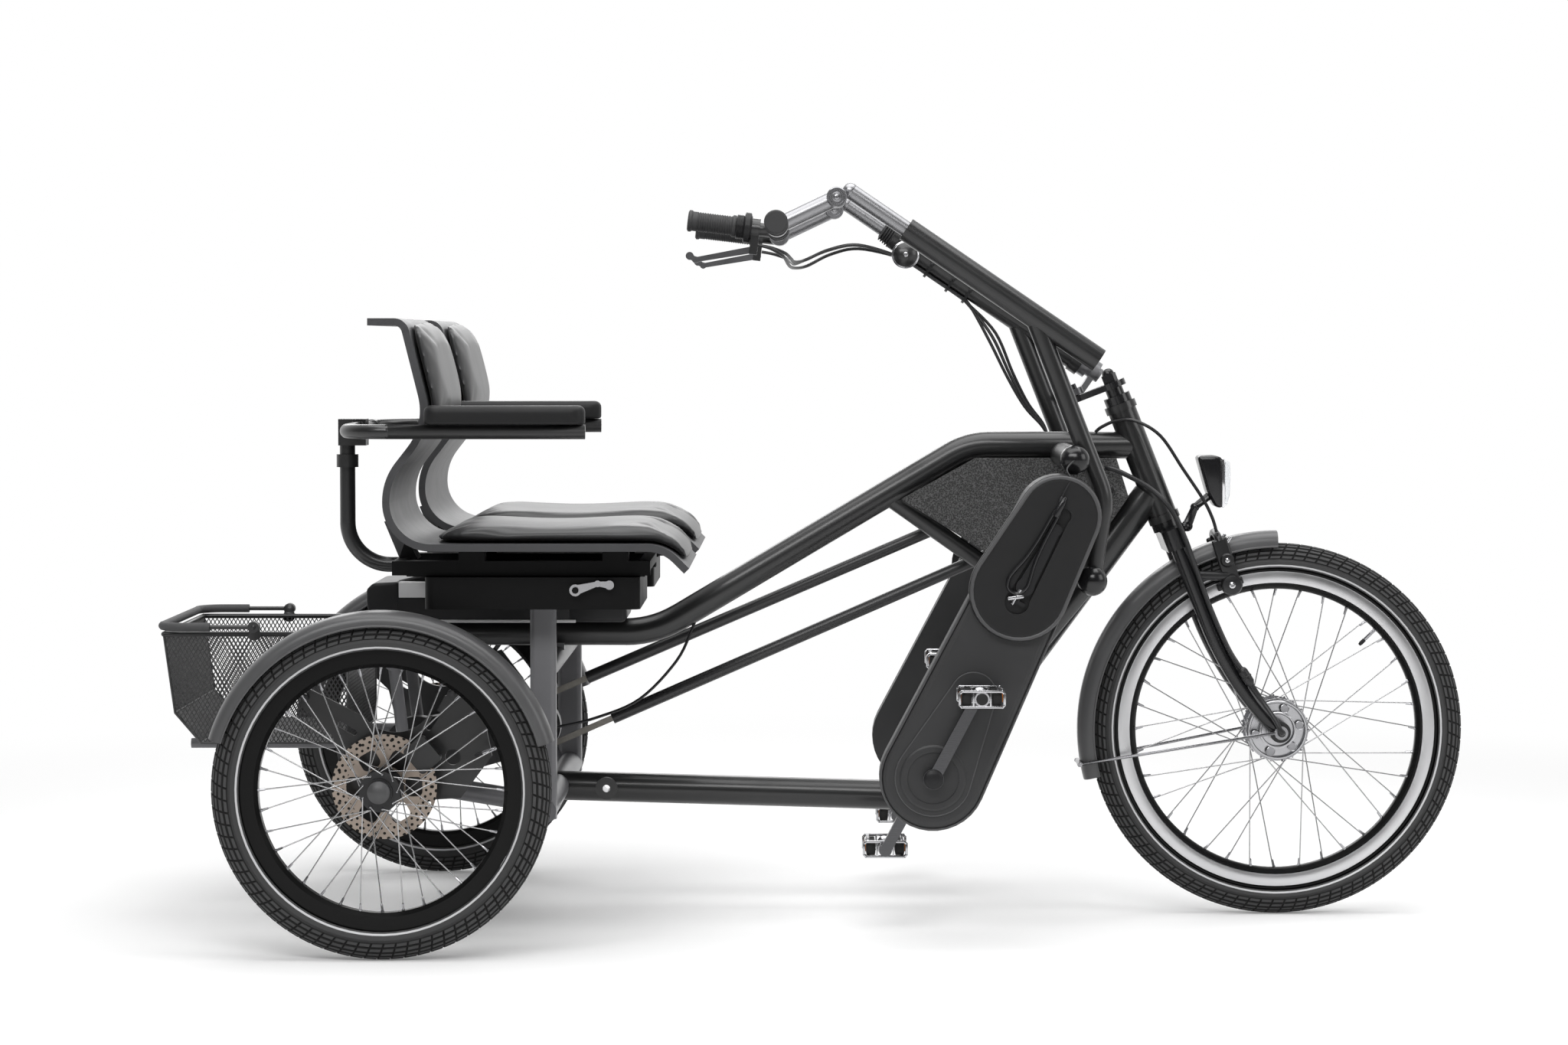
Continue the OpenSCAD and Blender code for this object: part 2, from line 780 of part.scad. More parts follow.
module chain_case() {
  y_in = -rider_y - case_in;
  c0 = [crank_x, crank_z];
  difference() {
    union() {
      case_form(c0, case_low_r, shaft_c, case_high_r, y_in, case_w, case_edge);
      y_bar(c0, y_in - case_w - case_lip, y_in - case_w + 1, 46);
    }
    case_form(c0, case_low_r - case_wall, shaft_c, case_high_r - case_wall, y_in - case_wall,
              case_w - 2 * case_wall, case_edge - case_wall);
    y_bar(c0, y_in - case_w - case_lip - 1, y_in - case_w + case_wall + 1, 30);
    y_bar(c0, y_in - case_w - case_lip - 1, y_in - case_w - 1, 40);
    y_bar(c0, y_in - case_wall - 1, y_in + 1, crank_axle_r + 4);
    y_bar(shaft_c, y_in - case_wall - 1, y_in + 1, shaft_r + 4);
  }
}

module chain_cases() {
  color("#3c3c3e") place() both_sides() chain_case();
}

module case_cover() {
  y_out = -rider_y - case_in - case_w - seat_gap;
  a = atan2(shaft_c[1] - cover_low[1], shaft_c[0] - cover_low[0]);
  u = [cos(a), sin(a)];
  slot_low = cover_low + [-4, -16];
  slot_high = slot_low + 150 * u;
  difference() {
    case_form(cover_low, cover_low_r, shaft_c, case_high_r, y_out, cover_t, 10);
    y_slab(y_out - cover_t - 1, y_out - cover_t + 7) link_outline(slot_low, slot_high, 19, 12);
  }
  y_slab(y_out - cover_t - 3, y_out - cover_t + 7 - seat_gap)
    link_outline(slot_low + 26 * u, slot_high - 24 * u, 14, 9);
  rod([slot_low[0], y_out - cover_t + 1, slot_low[1]],
      [slot_low[0] + 14 * u[0], y_out - cover_t + 1, slot_low[1] + 14 * u[1]], 3);
  translate([slot_low[0], y_out - cover_t + 1, slot_low[1]]) rotate([0, -a, 0])
    cube([6, 5, 26], center = true);
}

module case_covers() {
  color("#444446") place() both_sides() case_cover();
}

// Upper and lower tangent lines between the gear hub and the cross shaft
drive_d = norm(shaft_c - hub_c);
drive_a = atan2(shaft_c[1] - hub_c[1], shaft_c[0] - hub_c[0]);
drive_slip = asin((hub_sprocket_r - sprocket_r) / drive_d);
function drive_line(side, d) =
  let (h = drive_a - side * drive_slip)
  hub_c + hub_sprocket_r * side * [-sin(h), cos(h)] + d * [cos(h), sin(h)];

// Distance along a tangent line to where it crosses the strut of the main frame
function flat_cross(a, b) = a[0] * b[1] - a[1] * b[0];
function strut_cross(side) =
  let (p = drive_line(side, 0), u = drive_line(side, 1) - p, v = strut_low - strut_top)
  flat_cross(strut_top - p, v) / flat_cross(u, v);

module chain_tube(side, d0, d1) {
  p = drive_line(side, d0);
  q = drive_line(side, d1);
  difference() {
    rod([p[0], chain_y, p[1]], [q[0], chain_y, q[1]], chain_tube_d / 2);
    rod([p[0], chain_y, p[1]] - [4, 0, 2], [q[0], chain_y, q[1]] + [4, 0, 2], chain_tube_d / 2 - 2);
  }
}

module chain_tubes() {
  color("#2d2d2f") place() {
    for (side = [1, -1]) {
      d = strut_cross(side);
      c = drive_line(side, d);
      chain_tube(side, tube_start - 6 * side, d + 14);
      y_bar(c, strut_r + seat_gap, chain_y - chain_tube_d / 2 + 0.6, 6);
    }
  }
}

// A chain as one band round two sprockets
module chain_loop(c0, r0, c1, r1, y) {
  d = norm(c1 - c0);
  slip = asin((r0 - r1) / d);
  a = atan2(c1[1] - c0[1], c1[0] - c0[0]) - slip;
  l = sqrt(d * d - pow(r0 - r1, 2));
  start_at(c0 + r0 * [-sin(a), cos(a)], y, a)
    run([[l, 0], [r1, 180 - 2 * slip], [l, 0], [r0, 179.9 + 2 * slip]])
      square([chain_t, chain_w], center = true);
}

module drive_chains() {
  color("#8d8a84") place() {
    both_sides() chain_loop([crank_x, crank_z], ring_r, shaft_c, sprocket_r, -ring_y);
    chain_loop(hub_c, hub_sprocket_r, shaft_c, sprocket_r, chain_y);
  }
}

// A toothless sprocket that the chain band lies on
module sprocket(c, r, y) {
  y_bar(c, y - 2, y + 2, r - chain_t / 2 - seat_gap);
}

module cross_shaft() {
  color("#9a9a9c") place() {
    y_bar(shaft_c, -ring_y - 12, ring_y + 12, shaft_r);
    both_sides() sprocket(shaft_c, sprocket_r, -ring_y);
    sprocket(shaft_c, sprocket_r, chain_y);
  }
}

module gear_hub() {
  y1 = chain_y + 16 - seat_gap;
  color("#88888b") place() difference() {
    union() {
      y_bar(hub_c, gear_hub_y0, y1, 17);
      y_bar(hub_c, gear_hub_y0 + 6, chain_y - 12, 31);
      for (y = [gear_hub_y0 + 4, chain_y - 12]) y_bar(hub_c, y, y + 4, 35);
      sprocket(hub_c, hub_sprocket_r, chain_y);
    }
    y_bar(hub_c, gear_hub_y0 - 1, y1 + 1, hub_axle_r + run_gap);
  }
}

module crank_set(turn) {
  c = [crank_x, crank_z];
  out = crank_len * [cos(turn), sin(turn)];
  y_out = -rider_y - crank_reach;
  y_in = -rider_y + crank_reach;
  half = crank_arm_t / 2;
  y_bar(c, y_out - half, y_in + half, crank_axle_r);
  y_slab(y_out - half, y_out + half) crank_outline(c, c + out);
  y_slab(y_in - half, y_in + half) crank_outline(c, c - out);
  y_bar(c + out, y_out - half - pedal_gap - pedal_l, y_out, pedal_axle_r);
  y_bar(c - out, y_in, y_in + half + pedal_gap + pedal_l, pedal_axle_r);
  difference() {
    sprocket(c, ring_r, -ring_y);
    for (k = [0:4]) y_bar(c + 42 * [cos(72 * k), sin(72 * k)], -ring_y - 5, -ring_y + 5, 17);
  }
}

// A slim arm from the boss on the crank axle to the eye of a pedal
module crank_outline(c, end) {
  translate(c) circle(crank_hub_r);
  link_outline(c, end, crank_arm_r, pedal_eye_r);
}

module right_crank() {
  color("#77777a") place() crank_set(right_crank_turn);
}

module left_crank() {
  color("#77777a") place() left_side() crank_set(left_crank_turn + 180);
}

// A cage pedal on its spindle, two windows in front and two behind
module pedal(turn, outer) {
  s = outer ? -1 : 1;
  c = [crank_x, crank_z] - s * crank_len * [cos(turn), sin(turn)];
  y_near = -rider_y + s * (crank_reach + crank_arm_t / 2 + pedal_gap);
  y_mid = y_near + s * pedal_l / 2;
  translate([c[0], y_mid, c[1]]) difference() {
    translate([0, 0, -pedal_h / 2]) linear_extrude(pedal_h) round_rect([pedal_w, pedal_l], 9);
    for (sx = [-1, 1], sy = [-1, 1]) translate([sx * 20, sy * 22, -pedal_h]) linear_extrude(2 * pedal_h)
      round_rect([18, 30], 4);
    for (sx = [-1, 1]) translate([sx * pedal_w / 2, 0, 0]) cube([8, pedal_l - 34, 12], center = true);
    rotate([90, 0, 0]) translate([0, 0, -pedal_l]) cylinder(h = 2 * pedal_l, r = pedal_axle_r + run_gap);
  }
}

module right_outer_pedal() {
  color("#b9babb") place() pedal(right_crank_turn, true);
}

module right_inner_pedal() {
  color("#b9babb") place() pedal(right_crank_turn, false);
}

module left_inner_pedal() {
  color("#b9babb") place() left_side() pedal(left_crank_turn + 180, false);
}

module left_outer_pedal() {
  color("#b9babb") place() left_side() pedal(left_crank_turn + 180, true);
}

// Wheels

module tyre(r, w, flange) {
  rotate_extrude($fn = 96) difference() {
    translate([r - w / 2, 0]) circle(w / 2);
    translate([r - w / 2, 0]) circle(w / 2 - tyre_wall);
    translate([0, -rim_half_w - spoke_gap]) square([flange + seat_gap, 2 * (rim_half_w + spoke_gap)]);
  }
}

module rim(seat_r, flange) {
  inner = flange - rim_h;
  wall = 2;
  rotate_extrude($fn = 96) difference() {
    polygon([
      [inner, -8], [inner + 6, -rim_half_w], [flange, -rim_half_w], [flange, -rim_half_w + wall],
      [seat_r + 1, -rim_half_w + wall], [seat_r - 4, -6], [seat_r - 4, 6], [seat_r + 1, rim_half_w - wall],
      [flange, rim_half_w - wall], [flange, rim_half_w], [inner + 6, rim_half_w], [inner, 8]
    ]);
    translate([inner + 3.5, -rim_half_w + 6]) square([seat_r - inner - 10, 2 * rim_half_w - 12]);
  }
}

// Crossed spokes from two hub flanges to the rim, outer and inner heads by turns
module spokes(flange_r, flange_z, rim_in) {
  pairs = spoke_count / 2;
  step = 360 / pairs;
  head = flange_t / 2 + spoke_d / 2 + spoke_gap;
  for (s = [-1, 1], k = [0:pairs - 1]) {
    lead = k % 2 == 0 ? 1 : -1;
    a = k * step + (s > 0 ? 0 : step / 2);
    b = a + lead * 3 * step;
    r0 = flange_r - spoke_hole_in;
    r1 = rim_in - spoke_gap - 0.4;
    rod([r0 * cos(a), r0 * sin(a), s * (flange_z + lead * head)],
        [r1 * cos(b), r1 * sin(b), s * (4.2 + lead * 1.8)], spoke_d / 2);
  }
}

module rear_hub() {
  color("#1c1c1e") {
    cylinder(h = 68, r = 20, center = true);
    for (s = [-1, 1]) translate([0, 0, s * hub_flange_z])
      cylinder(h = flange_t, r = hub_flange_r, center = true);
    translate([0, 0, rotor_z + rotor_t / 2]) cylinder(h = 10, r = 22);
    translate([0, 0, -stub_len]) cylinder(h = stub_len, r = stub_r);
    rotate_extrude() intersection() {
      translate([0, hub_cap_z - 24]) circle(24);
      translate([0, 30]) square([17, 30]);
    }
  }
  color("#a48f7c") translate([0, 0, rotor_z]) rotor();
  color("#c9cacb") spokes(hub_flange_r, hub_flange_z, rear_rim_in);
}

module rotor() {
  difference() {
    cylinder(h = rotor_t, r = rotor_r, center = true);
    for (k = [0:5]) rotate(60 * k) translate([45, 0, 0]) linear_extrude(10, center = true)
      round_rect([26, 30], 8);
    for (k = [0:17]) rotate(20 * k) translate([rotor_r - 7, 0, -5]) cylinder(h = 10, r = 2.6, $fn = 16);
    cylinder(h = 10, r = stub_r + 1, center = true);
  }
}

module rear_wheel_place() {
  place() y_spin([0, rear_wheel_r], -wheel_y) children();
}

module right_tyre() {
  color("#2b2b2c") rear_wheel_place() tyre(rear_wheel_r, rear_tyre_w, rear_flange_r);
}

module right_rim() {
  color("#141415") rear_wheel_place() rim(rear_seat_r, rear_flange_r);
}

module right_hub() {
  rear_wheel_place() rear_hub();
}

module left_tyre() {
  left_side() right_tyre();
}

module left_rim() {
  left_side() right_rim();
}

module left_hub() {
  left_side() right_hub();
}

module front_wheel_place() {
  place() y_spin([wheelbase, front_wheel_r], 0) children();
}

module front_tyre() {
  color("#2b2b2c") front_wheel_place() tyre(front_wheel_r, front_tyre_w, front_flange_r);
}

module front_rim() {
  color("#b9babc") front_wheel_place() rim(front_seat_r, front_flange_r);
}

module front_hub() {
  front_wheel_place() {
    color("#c2c3c5") difference() {
      union() {
        cylinder(h = 2 * motor_flange_z - 8, r = motor_r - 7, center = true);
        for (s = [-1, 1]) translate([0, 0, s * motor_flange_z])
          cylinder(h = flange_t, r = motor_r, center = true);
        cylinder(h = 2 * motor_half_w - 10, r = 30, center = true);
        cylinder(h = 2 * motor_half_w, r = 16, center = true);
        for (s = [-1, 1]) translate([0, 0, s * (motor_flange_z - 4)])
          cylinder(h = 8, r = motor_r - 7, center = true);
      }
      cylinder(h = 200, r = front_axle_r + run_gap, center = true);
    }
    color("#c9cacb") spokes(motor_r, motor_flange_z, front_rim_in);
  }
}

// Front end

fork_start = fork_pt(0, crown_z);
fork_knee = fork_pt(0, crown_z - fork_straight);
axle_front = [wheelbase, front_wheel_r];
fork_chord = axle_front - fork_knee;
fork_turn = 2 * (atan2(fork_chord[1], fork_chord[0]) + head_angle);
fork_bend_r = norm(fork_chord) / (2 * sin(fork_turn / 2));

module fork_leg(y, r) {
  start_at(fork_start, y, -head_angle) run([[fork_straight, 0], [fork_bend_r, -fork_turn]]) circle(r);
}

module fork() {
  color("#1f1f21") place() {
    fork_frame() {
      translate([0, 0, crown_z - 12]) cylinder(h = fork_arm_z + arm_t / 2 + 12 - crown_z, r = steerer_r);
      translate([0, 0, crown_z + 20]) cylinder(h = -crown_z - 20 - run_gap, r = cup_r - 2);
      translate([0, 0, crown_z - 13]) linear_extrude(34)
        round_rect([36, 2 * (fork_leg_y + fork_leg_r + 2)], 14);
      translate([0, 0, head_len + run_gap]) cylinder(h = 14, r = cup_r - 4);
      translate([0, 0, fork_arm_z]) linear_extrude(arm_t) link_outline([0, 0], [-arm_len, 0], 22, 12);
      translate([0, 0, fork_arm_z + arm_t]) cylinder(h = 14, r = 12, $fn = 6);
      translate([0, 0, fork_arm_z + arm_t + 14]) sphere(10);
      translate([-arm_len, 0, fork_arm_z]) cylinder(h = arm_t + stud_h, r = stud_r);
    }
    for (s = [-1, 1]) {
      fork_leg(s * fork_leg_y, fork_leg_r);
      y_bar(axle_front, s * fork_leg_y - 11, s * fork_leg_y + 11, 17);
    }
    y_bar(axle_front, -fork_leg_y - 30, fork_leg_y + 30, front_axle_r);
  }
}

module front_fender() {
  r = front_wheel_r + 20;
  half_w = front_tyre_w / 2 + 4;
  stay_end = axle_front + (r + 3) * [cos(190), sin(190)];
  front_skirt = 25;
  eye_y = fork_leg_y + 15;
  eye_w = 8;
  color("#4c4c4f") place() {
    y_spin(axle_front, 0) rotate([0, 0, 90]) rotate_extrude(angle = 105)
      fender_outline(r, half_w, front_skirt);
    difference() {
      fork_frame() translate([0, 0, crown_z - 13 - seat_gap - 40]) cylinder(h = 40, r = 7);
      y_bar(axle_front, -60, 60, r - 1);
    }
  }
  color("#b5b6b8") place() both_sides() {
    difference() {
      y_bar(axle_front, -eye_y - eye_w, -eye_y, 11);
      y_bar(axle_front, -eye_y - eye_w - 1, -eye_y + 1, front_axle_r + seat_gap);
    }
    rod([axle_front[0] - 9, -eye_y - eye_w / 2 - 0.5, axle_front[1]],
        [stay_end[0], -half_w - 1, stay_end[1]], stay_wire_r);
  }
  color("#b5b6b8") place() y_bar(stay_end, -half_w - 6, half_w + 6, stay_wire_r + 1.2);
}

module headlight() {
  foot = fork_pt(30, crown_z + 12);
  knee = lamp_c + [-28, -42];
  color("#202022") place() {
    fork_frame() translate([18 + seat_gap, 0, crown_z + 12]) rotate([0, 90, 0]) cylinder(h = 16, r = 8);
    y_slab(-27, 27) polygon([
      lamp_c + [-10, -18], lamp_c + [2, -41], lamp_c + [16, -43], lamp_c + [16, 38], lamp_c + [4, 43],
      lamp_c + [-27, 42]
    ]);
    y_slab(-5, 5) {
      link_outline(foot, knee, 9, 7);
      link_outline(knee, lamp_c + [4, -16], 7, 8);
    }
  }
}

module headlight_lens() {
  color("#dfe6ea") place() y_slab(-25, 25) polygon([
    lamp_c + [16 + seat_gap, -40], lamp_c + [25, -40], lamp_c + [27, 36], lamp_c + [16 + seat_gap, 36]
  ]);
}

// Rim brake: a pad, a cylinder and an arm on each side, joined over the fender
module rim_brake() {
  pad_r = front_seat_r - 4;
  top = front_wheel_r + 26;
  color("#2b2b2d") place() difference() {
    translate([axle_front[0], 0, axle_front[1]]) rotate([0, 90 - brake_turn, 0]) {
      both_sides() {
        translate([-20, -rim_half_w - 9, pad_r - 6]) cube([40, 8, 12]);
        translate([0, -rim_half_w - 8, pad_r]) rotate([90, 0, 0]) cylinder(h = 24, r = 10);
        translate([-12, -46, pad_r - 16]) cube([30, 9, top - pad_r + 24]);
      }
      translate([-12, -46, top]) cube([30, 92, 8]);
      both_sides() rod([0, -42, pad_r + 12], [-70, -56, pad_r + 40], 8);
    }
    for (s = [-1, 1]) fork_leg(s * fork_leg_y, fork_leg_r + seat_gap);
  }
}

// Steering

stem_elbow = column_pt(0, column_len + stem_rise);
stem_pivot = stem_elbow + [-21, -10];
bar_c = stem_elbow + [-114, -54];
bar_r = bar_d / 2;

// An angled stem with its quill down to a depth in the column
module stem(y, low) {
  column_frame(y) translate([0, 0, low]) cylinder(h = column_len + stem_rise - low, r = quill_r);
  elbow([stem_elbow[0], y, stem_elbow[1]], quill_r);
  rod([stem_elbow[0], y, stem_elbow[1]], [stem_pivot[0], y, stem_pivot[1]], quill_r);
  y_bar(stem_pivot, y - 21, y + 21, 16);
  difference() {
    union() {
      rod([stem_pivot[0], y, stem_pivot[1]], [bar_c[0], y, bar_c[1]], 13);
      y_bar(bar_c, y - 23, y + 23, bar_r + 6);
    }
    y_bar(bar_c, y - 30, y + 30, bar_r + run_gap);
  }
}

module passenger_stem() {
  color("#b4b5b7") place() stem(-rider_y, column_len - 90);
}

module passenger_bar() {
  color("#222224") place() {
    y_bar(bar_c, -rider_y - bar_half, -rider_y + bar_half, bar_r);
    for (s = [-1, 1]) difference() {
      y_bar(bar_c, -rider_y + s * (bar_half - 58) - 60, -rider_y + s * (bar_half - 58) + 60, grip_r);
      y_bar(bar_c, -rider_y + s * (bar_half - 59) - 60, -rider_y + s * (bar_half - 59) + 60, bar_r + run_gap);
    }
  }
}

module driver_stem() {
  color("#b4b5b7") place() {
    stem(rider_y, column_arm_z - 12);
    column_frame(rider_y) {
      translate([0, 0, column_arm_z - 5]) linear_extrude(arm_t) link_outline([0, 0], [-arm_len, 0], 20, 12);
      translate([-arm_len, 0, column_arm_z]) cylinder(h = 32, r = stud_r);
      translate([0, 0, column_arm_z + 12]) cylinder(h = -lower_bush_h - run_gap - column_arm_z - 12, r = 18);
      translate([0, 0, column_len + 16 + run_gap]) cylinder(h = 12, r = column_r - 2);
    }
  }
}

// Starts at the front end of a driver's grip and looks back along it, local X up
module grip_frame(side) {
  c = bar_c + bar_bend_r * [-cos(bar_tilt), sin(bar_tilt)];
  start_at(c, rider_y + side * bar_span, 180 - bar_tilt) children();
}

module driver_bar() {
  color("#a9aaac") place() for (s = [0, 1]) translate([0, rider_y, 0]) mirror([0, s, 0])
    translate([bar_c[0], 0, bar_c[1]]) rotate([-90, 0, 0]) rotate([0, 0, 180 + bar_tilt])
      run([[bar_span - bar_bend_r, 0], [bar_bend_r, 90], [grip_run, 0]]) circle(bar_r);
  color("#2a2a2c") place() for (s = [-1, 1]) grip_frame(s) lever_clamp();
}

module lever_clamp() {
  difference() {
    union() {
      translate([0, 0, 0.5]) cylinder(h = 13, r = bar_r + 6);
      for (t = [-1, 1]) translate([-lever_drop - 8, t * 9.5 - 3, 0.5]) cube([lever_drop, 6, 13]);
    }
    translate([0, 0, -1]) cylinder(h = 20, r = bar_r + run_gap);
  }
  translate([-lever_drop, 12, lever_z]) rotate([90, 0, 0]) cylinder(h = 24, r = lever_pin);
}

module driver_grips() {
  color("#2c2c2e") place() for (s = [-1, 1]) grip_frame(s) difference() {
    translate([0, 0, s < 0 ? 40 : 15]) cylinder(h = grip_run + 3 - (s < 0 ? 40 : 15), r = grip_r);
    translate([0, 0, -1]) cylinder(h = grip_run + 1.2, r = bar_r + run_gap);
  }
}

module gear_shifter() {
  color("#1e1e20") place() grip_frame(-1) difference() {
    union() {
      translate([0, 0, 14]) cylinder(h = 25.5, r = 20);
      translate([0, 0, 16]) cylinder(h = 10, r = 25);
    }
    cylinder(h = 60, r = bar_r + run_gap);
  }
}

module brake_lever(side) {
  pivot = [0, 0];
  tip = [lever_reach, -28];
  grip_frame(side) translate([-lever_drop, -5.5, lever_z]) rotate([-90, -90, 0])
    linear_extrude(11) difference() {
    union() {
      link_outline(pivot, tip, 7, 5.5);
      link_outline(tip, tip + [10, 5], 5.5, 6.5);
    }
    circle(lever_pin + run_gap);
  }
}

module right_brake_lever() {
  color("#b9babc") place() brake_lever(-1);
}

module left_brake_lever() {
  color("#b9babc") place() brake_lever(1);
}

module tie_rod() {
  p = fork_pt(-arm_len, fork_arm_z + arm_t + 7);
  q = column_pt(-arm_len, column_arm_z + 22);
  color("#8b8c8f") place() difference() {
    union() {
      rod([p[0], 0, p[1]], [q[0], rider_y, q[1]], 5);
      fork_frame() translate([-arm_len, 0, fork_arm_z + arm_t + 2]) cylinder(h = 10, r = 13);
      column_frame(rider_y) translate([-arm_len, 0, column_arm_z + 17]) cylinder(h = 10, r = stud_r + 9);
    }
    fork_frame() translate([-arm_len, 0, fork_arm_z]) cylinder(h = 40, r = stud_r + run_gap);
    column_frame(rider_y) translate([-arm_len, 0, column_arm_z]) cylinder(h = 60, r = stud_r + open_eye_gap);
  }
}

// Cables: a smooth line through points chosen by hand, swept as a tube

function blend_pt(a, b, c, d, t) =
  0.5 * (2 * b + (c - a) * t + (2 * a - 5 * b + 4 * c - d) * t * t + (3 * b - a - 3 * c + d) * t * t * t);
function smooth_line(p, n) = [
  for (i = [0:len(p) - 2], k = [0:n - 1])
    blend_pt(p[max(i - 1, 0)], p[i], p[i + 1], p[min(i + 2, len(p) - 1)], k / n),
  p[len(p) - 1]
];
function unit(v) = v / norm(v);
function ring(p, t, r, n) =
  let (u = unit(cross(t, [0, 1, 0.02])), v = cross(u, t))
  [for (j = [0:n - 1]) p + r * (cos(360 * j / n) * u + sin(360 * j / n) * v)];
function loft_faces(m, n) = concat(
  [for (i = [0:m - 2], j = [0:n - 1]) [i * n + j, i * n + (j + 1) % n, (i + 1) * n + j]],
  [for (i = [0:m - 2], j = [0:n - 1]) [i * n + (j + 1) % n, (i + 1) * n + (j + 1) % n, (i + 1) * n + j]],
  [for (j = [1:n - 2]) [0, j + 1, j]],
  [for (j = [1:n - 2]) [(m - 1) * n, (m - 1) * n + j, (m - 1) * n + j + 1]]
);

module cable(points, d) {
  n = 8;
  line = smooth_line(points, 4);
  m = len(line);
  rings = [
    for (i = [0:m - 1])
      each ring(line[i], unit(line[min(i + 1, m - 1)] - line[max(i - 1, 0)]), d / 2, n)
  ];
  polyhedron(rings, loft_faces(m, n));
}

// A place under the handlebar column where a cable lies, side by side with the others
function under_column(seat, k) =
  let (r = column_r + cable_d / 2 + 2 * seat_gap + seat[1], p = column_pt(-r * cos(cable_step * k), seat[0]))
  [p[0], rider_y + r * sin(cable_step * k), p[1]];
function beside(points) = [for (p = points) [p[0], rider_y + p[1], p[2]]];

// A route of the front end, and one of the driver's bar
function ahead(route) = [for (p = route) [wheelbase + p[0], p[1], p[2]]];
function from_bar(route) = [for (p = route) [bar_c[0] + p[0], rider_y + p[1], bar_c[1] + p[2]]];

module control_cables() {
  color("#161617") place() for (k = [-1, 0, 1]) cable(concat(
    from_bar(cable_starts[k + 1]), [for (seat = cable_seats) under_column(seat, k)],
    beside(ahead([for (p = cable_end) [p[0], p[1] + cable_pitch * k, p[2]]]))
  ), cable_d);
}

module front_cables() {
  lead = ahead(lead_route);
  tail = ahead(lead_tail);
  color("#161617") place() {
    cable(ahead(hose_route), cable_d);
    cable(lead, lead_d);
    rod(lead[len(lead) - 1], tail[0], lead_d);
    cable(tail, lead_d);
  }
}

// Seats

function signed_pow(c, e) = sign(c) * pow(abs(c), e);

// One ring of a pad: flat below, sides that swell and draw in, a crowned top
function pad_ring(half_w, t, n) = [
  for (j = [0:n - 1])
    let (a = -50 + 280 * j / (n - 1), rise = signed_pow(sin(a), pad_round), low = pow(sin(50), pad_round))
    [half_w * signed_pow(cos(a), pad_round), rise > 0 ? t * (0.42 + 0.58 * rise)
      : 0.42 * t * (1 + rise / low)]
];
function end_ease(x, p, q) = max(0.14, pow(1 - pow(abs(x), p), 1 / q));

// A pad that lies along the seat shell from one distance to another
module seat_strip(from, length, half_w, t, y) {
  m = 37;
  n = 18;
  up = shell_t / 2 + pad_gap;
  rings = [
    for (i = [0:m - 1])
      let (k = 2 * i / (m - 1) - 1, x = 0.4 * k + 0.6 * sin(90 * k), d = from + length * (x + 1) / 2)
      for (q = pad_ring(half_w * end_ease(x, 8, 5), t * end_ease(x, 8, 3), n))
        let (p = seat_at(d, up + q[1])) [p[0], y + q[0], p[1]]
  ];
  polyhedron(rings, loft_faces(m, n));
}

module seat_shell() {
  rail_w = runner_w + 10;
  slot = runner_w + 2 * seat_gap;
  z0 = base_bottom_z + base_h + 2;
  start_at(seat_start, -rider_y, seat_heading) run(seat_runs) square([shell_t, seat_w], center = true);
  for (s = [-1, 1]) translate([0, -rider_y + s * runner_y, 0]) difference() {
    union() {
      translate([rail_x[0], -rail_w / 2, z0]) cube([rail_x[1] - rail_x[0], rail_w, rail_h]);
      for (x = [110, 330]) translate([x, -rail_w / 2, z0]) cube([40, rail_w, pan_z - z0]);
    }
    translate([rail_x[0] - 1, -slot / 2, z0 - 1])
      cube([rail_x[1] - rail_x[0] + 2, slot, runner_z + seat_gap - z0 + 1]);
  }
  translate([rail_x[0], -rider_y - runner_y, z0 + 8]) cube([18, 2 * runner_y, rail_h - 8]);
  translate([rail_x[1] - 18, -rider_y - runner_y, z0 + 8]) cube([18, 2 * runner_y, rail_h - 8]);
  y_slab(-rider_y - 30, -rider_y + 30) polygon([
    [rail_x[0] + 2, z0 + rail_h - 2], [38, z0 + rail_h - 2], [20, z0 + rail_h + 30],
    [-8, z0 + rail_h + 58], [-14, z0 + rail_h + 56]
  ]);
}

module right_seat_shell() {
  color("#4a4a4d") place() seat_shell();
}

module left_seat_shell() {
  left_side() right_seat_shell();
}

module right_seat_pad() {
  color("#3a3a3c") place() seat_strip(pan_from, pan_len, seat_w / 2 - pad_inset, pad_t, -rider_y);
}

module left_seat_pad() {
  left_side() right_seat_pad();
}

module right_back_pad() {
  color("#3a3a3c") place() seat_strip(back_from, back_len, seat_w / 2 - pad_inset, back_t, -rider_y);
}

module left_back_pad() {
  left_side() right_back_pad();
}

module armrest_post() {
  foot_x = rail_x[0] - seat_gap;
  foot_z = base_bottom_z + base_h + 2 + rail_h - post_r;
  rise = arm_pivot[1] + 14 - foot_z - post_bend_r;
  color("#1d1d1f") place() {
    start_at([foot_x, foot_z], -rider_y, 180)
      run([[foot_x - post_x - post_bend_r, 0], [post_bend_r, 90], [rise, 0]], tube_swell) circle(post_r);
    translate([post_x, -rider_y, arm_pivot[1] - 60]) cylinder(h = 20, r = post_r + 5);
    translate([post_x - 12, -rider_y - 20, arm_pivot[1] - 26]) cube([arm_pivot[0] - post_x + 24, 40, 41]);
    y_bar(arm_pivot, -rider_y - arm_pin_y, -rider_y + arm_pin_y, arm_pin_r);
  }
}

